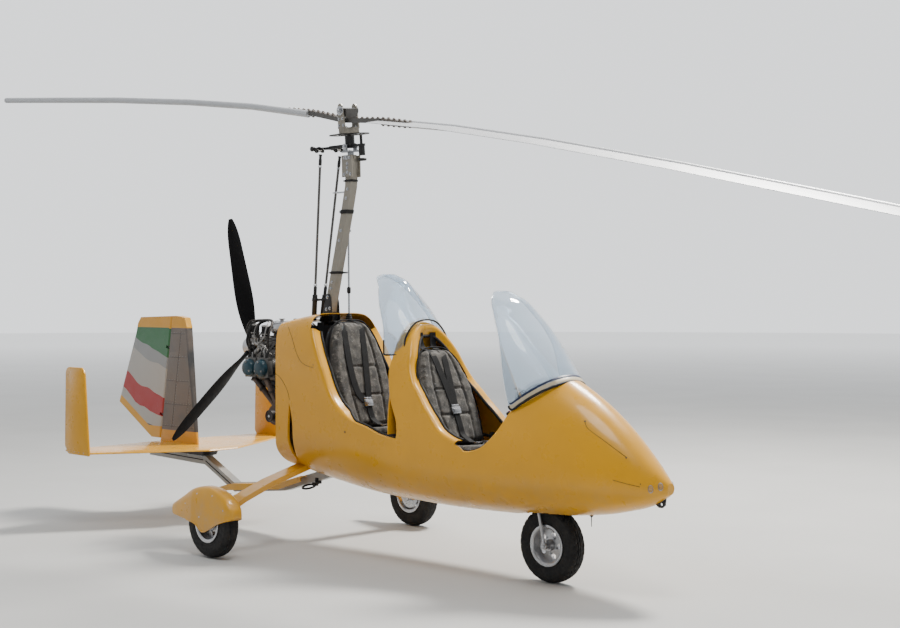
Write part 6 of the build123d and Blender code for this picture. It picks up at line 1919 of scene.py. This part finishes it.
# throttle lever, its grip and its base box
m.tube([Vector(p) for p in smooth_line([tuple(P(1180, 232, 560)), tuple(P(1215, 232, 640)), tuple(P(1232, 230, 700))], 0.01)], 0.006, 12)
g.lathe([(0.0, 0.0), (0.013, 0.002), (0.0155, 0.010), (0.0155, 0.050), (0.012, 0.060), (0.0, 0.062)], P(1232, 230, 696), (0.2, 0, 1), 24)
g.box(P(1180, 232, 548), (0.110, 0.034, 0.030), 0.006)
g.done("grips_boots_and_treads", "airframe", "hose", "black_composite", 35)
m.done("control_tubes", "airframe", "alu", "silver_metal", 40)
red.done("grip_buttons", "airframe", "red_glass", "black_composite", 40)


# ---------------------------------------------------------------- wheels
for name, x, y in (("nose", NOSE, 0.0), ("left", MAIN, TRACK_HALF), ("right", MAIN, -TRACK_HALF)):
    g = Geo()
    c = Vector((X(x), y, 0.205))
    for sgn in (-1, 1):
        outer = name == "nose" or sgn * y > 0
        ax = Vector((0, sgn, 0))
        if outer and name != "nose":
            g.lathe([(0.0, 0.046), (0.027, 0.046), (0.028, 0.048), (0.027, 0.053), (0.018, 0.057), (0.0, 0.058)], c, ax, 32)
        for k in range(5):
            a = 2 * math.pi * (k + 0.5) / 5 + 0.3
            g.bolt(c + Vector((math.cos(a) * 0.046, 0, math.sin(a) * 0.046)) + ax * 0.0125, ax, 0.0052, 0.006)
        for k in range(10):
            a = 2 * math.pi * (k + 0.5) / 10
            g.bolt(c + Vector((math.cos(a) * 0.083, 0, math.sin(a) * 0.083)) + ax * 0.0072, ax, 0.0036, 0.004, False)
        g.lathe([(0.1005, 0.0442), (0.1035, 0.0450), (0.1125, 0.0497), (0.1128, 0.0510), (0.1105, 0.0515), (0.1010, 0.0500)], c, ax, 64)
    a = 1.1
    o = c + Vector((math.cos(a) * 0.090, 0, math.sin(a) * 0.090)) + Vector((0, (1 if y > 0 else -1) * 0.008, 0))
    g.lathe([(0.0, 0.0), (0.0035, 0.0), (0.0035, 0.018), (0.0045, 0.019), (0.0045, 0.026), (0.0, 0.027)], o, (math.cos(a) * -0.25, 1 if y > 0 else -1, math.sin(a) * -0.25), 14)
    g.done(name + "_wheel_bolts", name + "_wheel", "steel", "steel", 30)
    if name != "nose":
        sgn = 1 if y > 0 else -1
        g = Geo()
        g.lathe([(0.034, -0.040), (0.080, -0.040), (0.080, -0.036), (0.034, -0.036)], c, (0, sgn, 0), 64)
        g.lathe([(0.031, -0.047), (0.036, -0.047), (0.036, -0.014), (0.031, -0.014)], c, (0, sgn, 0), 40)
        g.done(name + "_brake_disc", name + "_wheel", "steel", "steel", 30)
        g = Geo()
        for h0, h1 in ((-0.056, -0.0425), (-0.0335, -0.022)):
            g.box(c + Vector((-0.052, sgn * (h0 + h1) / 2, 0.046)), (0.040, abs(h1 - h0), 0.036), 0.004)
        g.box(c + Vector((-0.071, sgn * -0.039, 0.064)), (0.016, 0.034, 0.022), 0.003, Matrix.Rotation(math.radians(40), 3, "Y"))
        g.tube([c + Vector((-0.052, sgn * -0.056, 0.046)), c + Vector((-0.040, sgn * -0.076, 0.060))], 0.005, 12)
        g.done(name + "_brake_caliper", "airframe", "black_metal", "dark_steel", 30)
# axle nuts of the nose fork
g = Geo()
for sgn in (-1, 1):
    g.bolt(Vector((X(NOSE), sgn * 0.0725, 0.205)), (0, sgn, 0), 0.0105, 0.007)
g.done("nose_axle_nuts", "nose_leg", "steel", "steel", 30)


# ---------------------------------------------------------------- tail
END_FIN = [(-1439, 488), (-1492, 1040), (-1519, 1077), (-1724, 1077), (-1738, 540), (-1697, 488)]
g, m = Geo(), Geo()
out = round_outline(END_FIN, [6, 26, 34, 46, 30, 30], 7)
cx = sum(a for a, b in out) / len(out)
cz = sum(b for a, b in out) / len(out)
for y0 in (-816, 800):
    rows = []
    for h, inset in ((0, 5.0), (1.5, 2.0), (4.5, 0.3), (11.5, 0.3), (14.5, 2.0), (16, 5.0)):
        row = []
        for a, b in out:
            d = Vector((cx - a, cz - b))
            q = Vector((a, b)) + d.normalized() * inset
            row.append(P(q.x, y0 + h, q.y))
        rows.append(row)
    bar(g, rows)
    for x in (-1500, -1560, -1620, -1680):
        for y_ in (y0, y0 + 16):
            m.dome(P(x, y_, 506), (0, -1 if y_ == y0 else 1, 0), 0.0045, 0.0018, 12)
g.done("end_plates", "airframe", "yellow", "yellow_paint", 40, ("end_fins",))
# rivet rows along the stabilizer's spar and ribs
for sgn in (-1, 1):
    for k in range(26):
        y = 60 + k * 28.5
        a = -1040 - (y - 120) * 400 / 680 if y > 120 else -1040
        m.dome(P(a - 92, sgn * y, 516), (0, 0, 1), 0.0026, 0.0010, 8)
        m.dome(P(-1690 + (y / 800) * 10, sgn * y, 516), (0, 0, 1), 0.0026, 0.0010, 8)
    for y in (130, 420, 700):
        a = -1040 - (y - 120) * 400 / 680
        for k in range(16):
            m.dome(P(a - 110 - k * (560 - (y - 120) * 0.58) / 16, sgn * y, 516), (0, 0, 1), 0.0024, 0.0010, 8)


def fin_frame(along, across):
    """Station and height of a point of the fin: along the hinge line and square to it, forward."""
    hz_, hx_ = 0.986202875, 0.165541197
    return -1790 + hx_ * along + hz_ * across, 560 + hz_ * along - hx_ * across


def fin_half(c):
    # arc through (30, 26), (250, 22), (470, 3)
    return float(np.interp(c, [30, 85, 140, 195, 250, 305, 360, 415, 470], [26, 26.94, 26.37, 24.7, 22, 18.5, 14.2, 9.0, 3.0]))


lines = Geo()
for sgn in (-1, 1):
    for along in (70, 230, 400, 570, 740):
        pts = []
        for c_ in np.linspace(40, 400, 24):
            st_, z_ = fin_frame(along + c_ * 0.16, c_)
            front_edge = -1345 - (z_ - 516) * 101 / 824
            if st_ < front_edge - 26:
                pts.append(P(st_, sgn * (fin_half(c_) - 0.2), z_))
        if len(pts) > 2:
            lines.tube(pts, 0.0011, 6)
            for p in pts[::2]:
                m.dome(p + Vector((0, sgn * 0.0002, 0.008)), (0, sgn, 0), 0.0024, 0.0010, 8)
    for c_ in (150, 300):
        pts = []
        for al in np.linspace(0, 830, 40):
            st_, z_ = fin_frame(al, c_)
            front_edge = -1345 - (z_ - 516) * 101 / 824
            if 612 < z_ < 1330 and st_ < front_edge - 22:
                pts.append(P(st_, sgn * (fin_half(c_) - 0.2), z_))
        if len(pts) > 2:
            lines.tube(pts, 0.0011, 6)
            for p in pts:
                m.dome(p + Vector((0.007, sgn * -0.0006, 0)), (0, sgn, 0), 0.0024, 0.0010, 8)
lines.done("fin_panel_lines", "airframe", "steel_dark", "dark_steel", 60)
m.done("tail_rivets", "airframe", "alu_dark", "silver_metal", 40)
# groove strips along the keel's exposed part, bracket bolts
g, m = Geo(), Geo()
for sgn in (-1, 1):
    for a, b in ((KEEL_LINE[-2], KEEL_LINE[-1]), (KEEL_LINE[-3], KEEL_LINE[-2])):
        p, q = P(a[0], sgn * 30.2, a[1]), P(b[0], sgn * 30.2, b[1])
        d = q - p
        g.tube([p + d * 0.03, p + d * 0.5, p + d * 0.97], 0.0035, 8)
    for x in (-1240, -1400, -1560, -1620):
        m.bolt(P(x, sgn * 46, 455.5 + (x + 1640) * -0.0137), (0, 0, -1), 0.007, 0.006)
g.done("keel_grooves", "airframe", "hose", "black_composite", 60)
m.done("tail_bracket_bolts", "airframe", "steel", "steel", 30)

# ---------------------------------------------------------------- materials of the CAD pieces that stay
RUDDER_STOPS = [(0.0, (0.035, 0.035, 0.038)), (0.20, (0.40, 0.385, 0.36)), (0.29, (0.36, 0.012, 0.012)), (0.43, (0.40, 0.385, 0.36)), (0.66, (0.26, 0.275, 0.285)), (0.74, (0.012, 0.13, 0.035)), (0.93, YELLOW)]


def rudder_extra(nt, v, s, colour):
    low = span(nt, s[2], 1.0, 0.0, 0.618, 0.62)
    top = span(nt, s[2], 0.0, 1.0, 1.33, 1.332)
    slant = math_node(nt, "ADD", s[2], math_node(nt, "MULTIPLY", s[0], 0.5317))
    edge = span(nt, slant, 1.0, 0.0, 0.771 + X(-2336) * 0.5317 + 0.062, 0.771 + X(-2336) * 0.5317 + 0.064)
    return mix(nt, math_node(nt, "MAXIMUM", math_node(nt, "MAXIMUM", low, top), edge, clamp=True), colour, YELLOW)


def fin_extra(nt, v, s, colour):
    top = span(nt, s[2], 0.0, 1.0, 1.33, 1.332)
    base = span(nt, s[2], 1.0, 0.0, 0.60, 0.602)
    edge = math_node(nt, "MAXIMUM", top, base, clamp=True)
    # dark leading-edge strip
    lead = math_node(nt, "ADD", s[0], math_node(nt, "MULTIPLY", s[2], 0.12257))
    strip = span(nt, lead, 0.0, 1.0, X(-1345) + 0.516 * 0.12257 - 0.020, X(-1345) + 0.516 * 0.12257 - 0.018)
    colour = mix(nt, strip, colour, (0.03, 0.03, 0.032))
    panel = span(nt, noise(nt, v, 3.0, 1.0), 0.0, 0.5, 0.45, 0.55)
    colour = mix(nt, panel, colour, (0.15, 0.115, 0.09))
    return mix(nt, edge, colour, YELLOW)


MAT["rudder"] = tail_bands("rudder_bands", RUDDER_STOPS, (0.35, 0.94), (-2.35, 0.52), 0.95, rudder_extra)
MAT["fin"] = tail_bands("fin_panels", [(0.0, (0.10, 0.085, 0.075)), (0.33, (0.13, 0.11, 0.095)), (0.7, (0.105, 0.09, 0.08))], (0.0, 1.0), (-1.8, 0.5), 0.9, fin_extra)

def bulkhead(name, station, inset, low, high, thick, mat, slot, replaces, ribs, face):
    """A panel across the pod, a little inside its skin, with ribs and edge bolts on one face."""
    g, m = Geo(), Geo()
    side_pts = [(max(0.0, y - inset), z) for y, z in half_section(station)]
    side_pts = [(y, z) for y, z in side_pts if low <= z <= high and y > 6]
    side_pts = [(side_pts[0][0], low)] + side_pts[1:-1] + [(side_pts[-1][0], min(high, side_pts[-1][1]))]
    outline = side_pts + [(-y, z) for y, z in reversed(side_pts)]
    prism(g, outline, lambda a, b, h: P(station + h, a, b), thick)
    x = station + (thick if face > 0 else 0)
    for z in ribs:
        half = max(y for y, zz in side_pts if abs(zz - z) < 60) - 34
        g.box(P(x + face * 2.5, 0, z), (0.007, 2 * half / 1000, 0.020), 0.0025)
    for k in range(1, len(side_pts) - 1, 3):
        y, z = side_pts[k]
        for q in (-1, 1):
            m.bolt(P(x, q * (y - 16), z), (face, 0, 0), 0.0048, 0.0036)
    g.done(name, "airframe", mat, slot, 30, replaces)
    m.done(name + "_bolts", "airframe", "steel", "steel", 30)


bulkhead("firewall_panel", -72, 10, 560, 1338, 6, "alu_dark", "silver_metal", ("firewall",), (660, 820, 980, 1140, 1270), -1)
bulkhead("cockpit_rear_bulkhead", 112, 12, 760, 1386, 4, "carbon", "black_composite", (), (900, 1060, 1220), 1)

g = Geo()
for q in (-1, 1):
    corner = [(98, 1334), (138, 1334), (157, 1364), (152, 1391), (98, 1391)]
    corner = [(q * a, b) for a, b in (corner if q > 0 else reversed(corner))]
    prism(g, round_outline(corner, 6, 4), lambda a, b, h: P(118 + h, a, b), 3)
g.done("hoop_corner_plates", "airframe", "carbon", "black_composite", 30)

LOOK = {
    "aft_blade": "blade", "forward_blade": "blade", "hub_bar": "rod_grey", "rotor_towers": "mast", "ring_gear": "steel_dark",
    "head_roll_yoke": "alu_dark", "head_pitch_block": "black_metal", "mast": "mast", "mast_head_plates": "mast",
    "control_rods": "rod_grey", "prerotator_shaft": "steel", "axle_knuckles": "alu", "gear_leg": "yellow_low",
    "left_rim": "alu", "right_rim": "alu", "nose_rim": "alu", "nose_fork": "alu", "steering_head": "black_metal",
    "cockpit_floor": "carbon", "firewall": "alu_dark", "saddle_wall": "yellow",
    "instrument_panel": "black_plastic", "rear_instrument_panel": "black_plastic",
    "front_seat_cushion": "seat", "rear_seat_cushion": "seat", "front_seat_pan": "carbon", "rear_seat_pan": "carbon",
    "keel_tube": "grey_keel", "keel_cover": "yellow_low", "engine_block": "cast", "engine_cylinders": "teal",
    "reduction_gearbox": "cast", "intake_boxes": "black_plastic", "exhaust": "pipe_heat", "engine_mount": "black_metal",
    "propeller_hub": "alu", "propeller_blades": "prop", "stabilizer": "yellow", "end_fins": "yellow", "fin": "fin", "rudder": "rudder",
    "tail_bracket": "black_metal", "control_sticks": "black_metal", "rudder_pedals": "alu_dark", "tow_eye": "black_metal",
    "pod_tub": "yellow", "saddle": "yellow", "rear_cowls": "yellow", "left_spat": "yellow", "right_spat": "yellow",
    "left_tyre": "rubber", "right_tyre": "rubber", "nose_tyre": "rubber", "front_windscreen": "glass", "rear_windscreen": "glass",
}
for node, mat in LOOK.items():
    me = NODES[node].data
    me.materials.clear()
    me.materials.append(MAT[mat])
    me.polygons.foreach_set("use_smooth", [True] * len(me.polygons))
    me.set_sharp_from_angle(angle=math.radians(32))

# ---------------------------------------------------------------- floor
floor_mat, nt, b, v = tree("pale_floor")
nt.links.new(ramp(nt, noise(nt, v, 0.8, 3.0), [(0.3, (0.50, 0.50, 0.49)), (0.7, (0.54, 0.54, 0.53))]), b.inputs["Base Color"])
b.inputs["Roughness"].default_value = 0.85
far = nt.nodes.new("ShaderNodeVectorMath")
far.operation = "LENGTH"
nt.links.new(v, far.inputs[0])
b.inputs["Emission Color"].default_value = (0.86, 0.88, 0.90, 1)
nt.links.new(span(nt, far.outputs["Value"], 0.0, 0.85, 9.0, 40.0), b.inputs["Emission Strength"])
bm = bmesh.new()
bmesh.ops.create_circle(bm, cap_ends=True, cap_tris=False, segments=96, radius=60.0)
me = bpy.data.meshes.new("floor")
bm.to_mesh(me)
bm.free()
me.materials.append(floor_mat)
floor = bpy.data.objects.new("floor", me)
floor.location = (0, 0, -0.0005)
bpy.context.scene.collection.objects.link(floor)
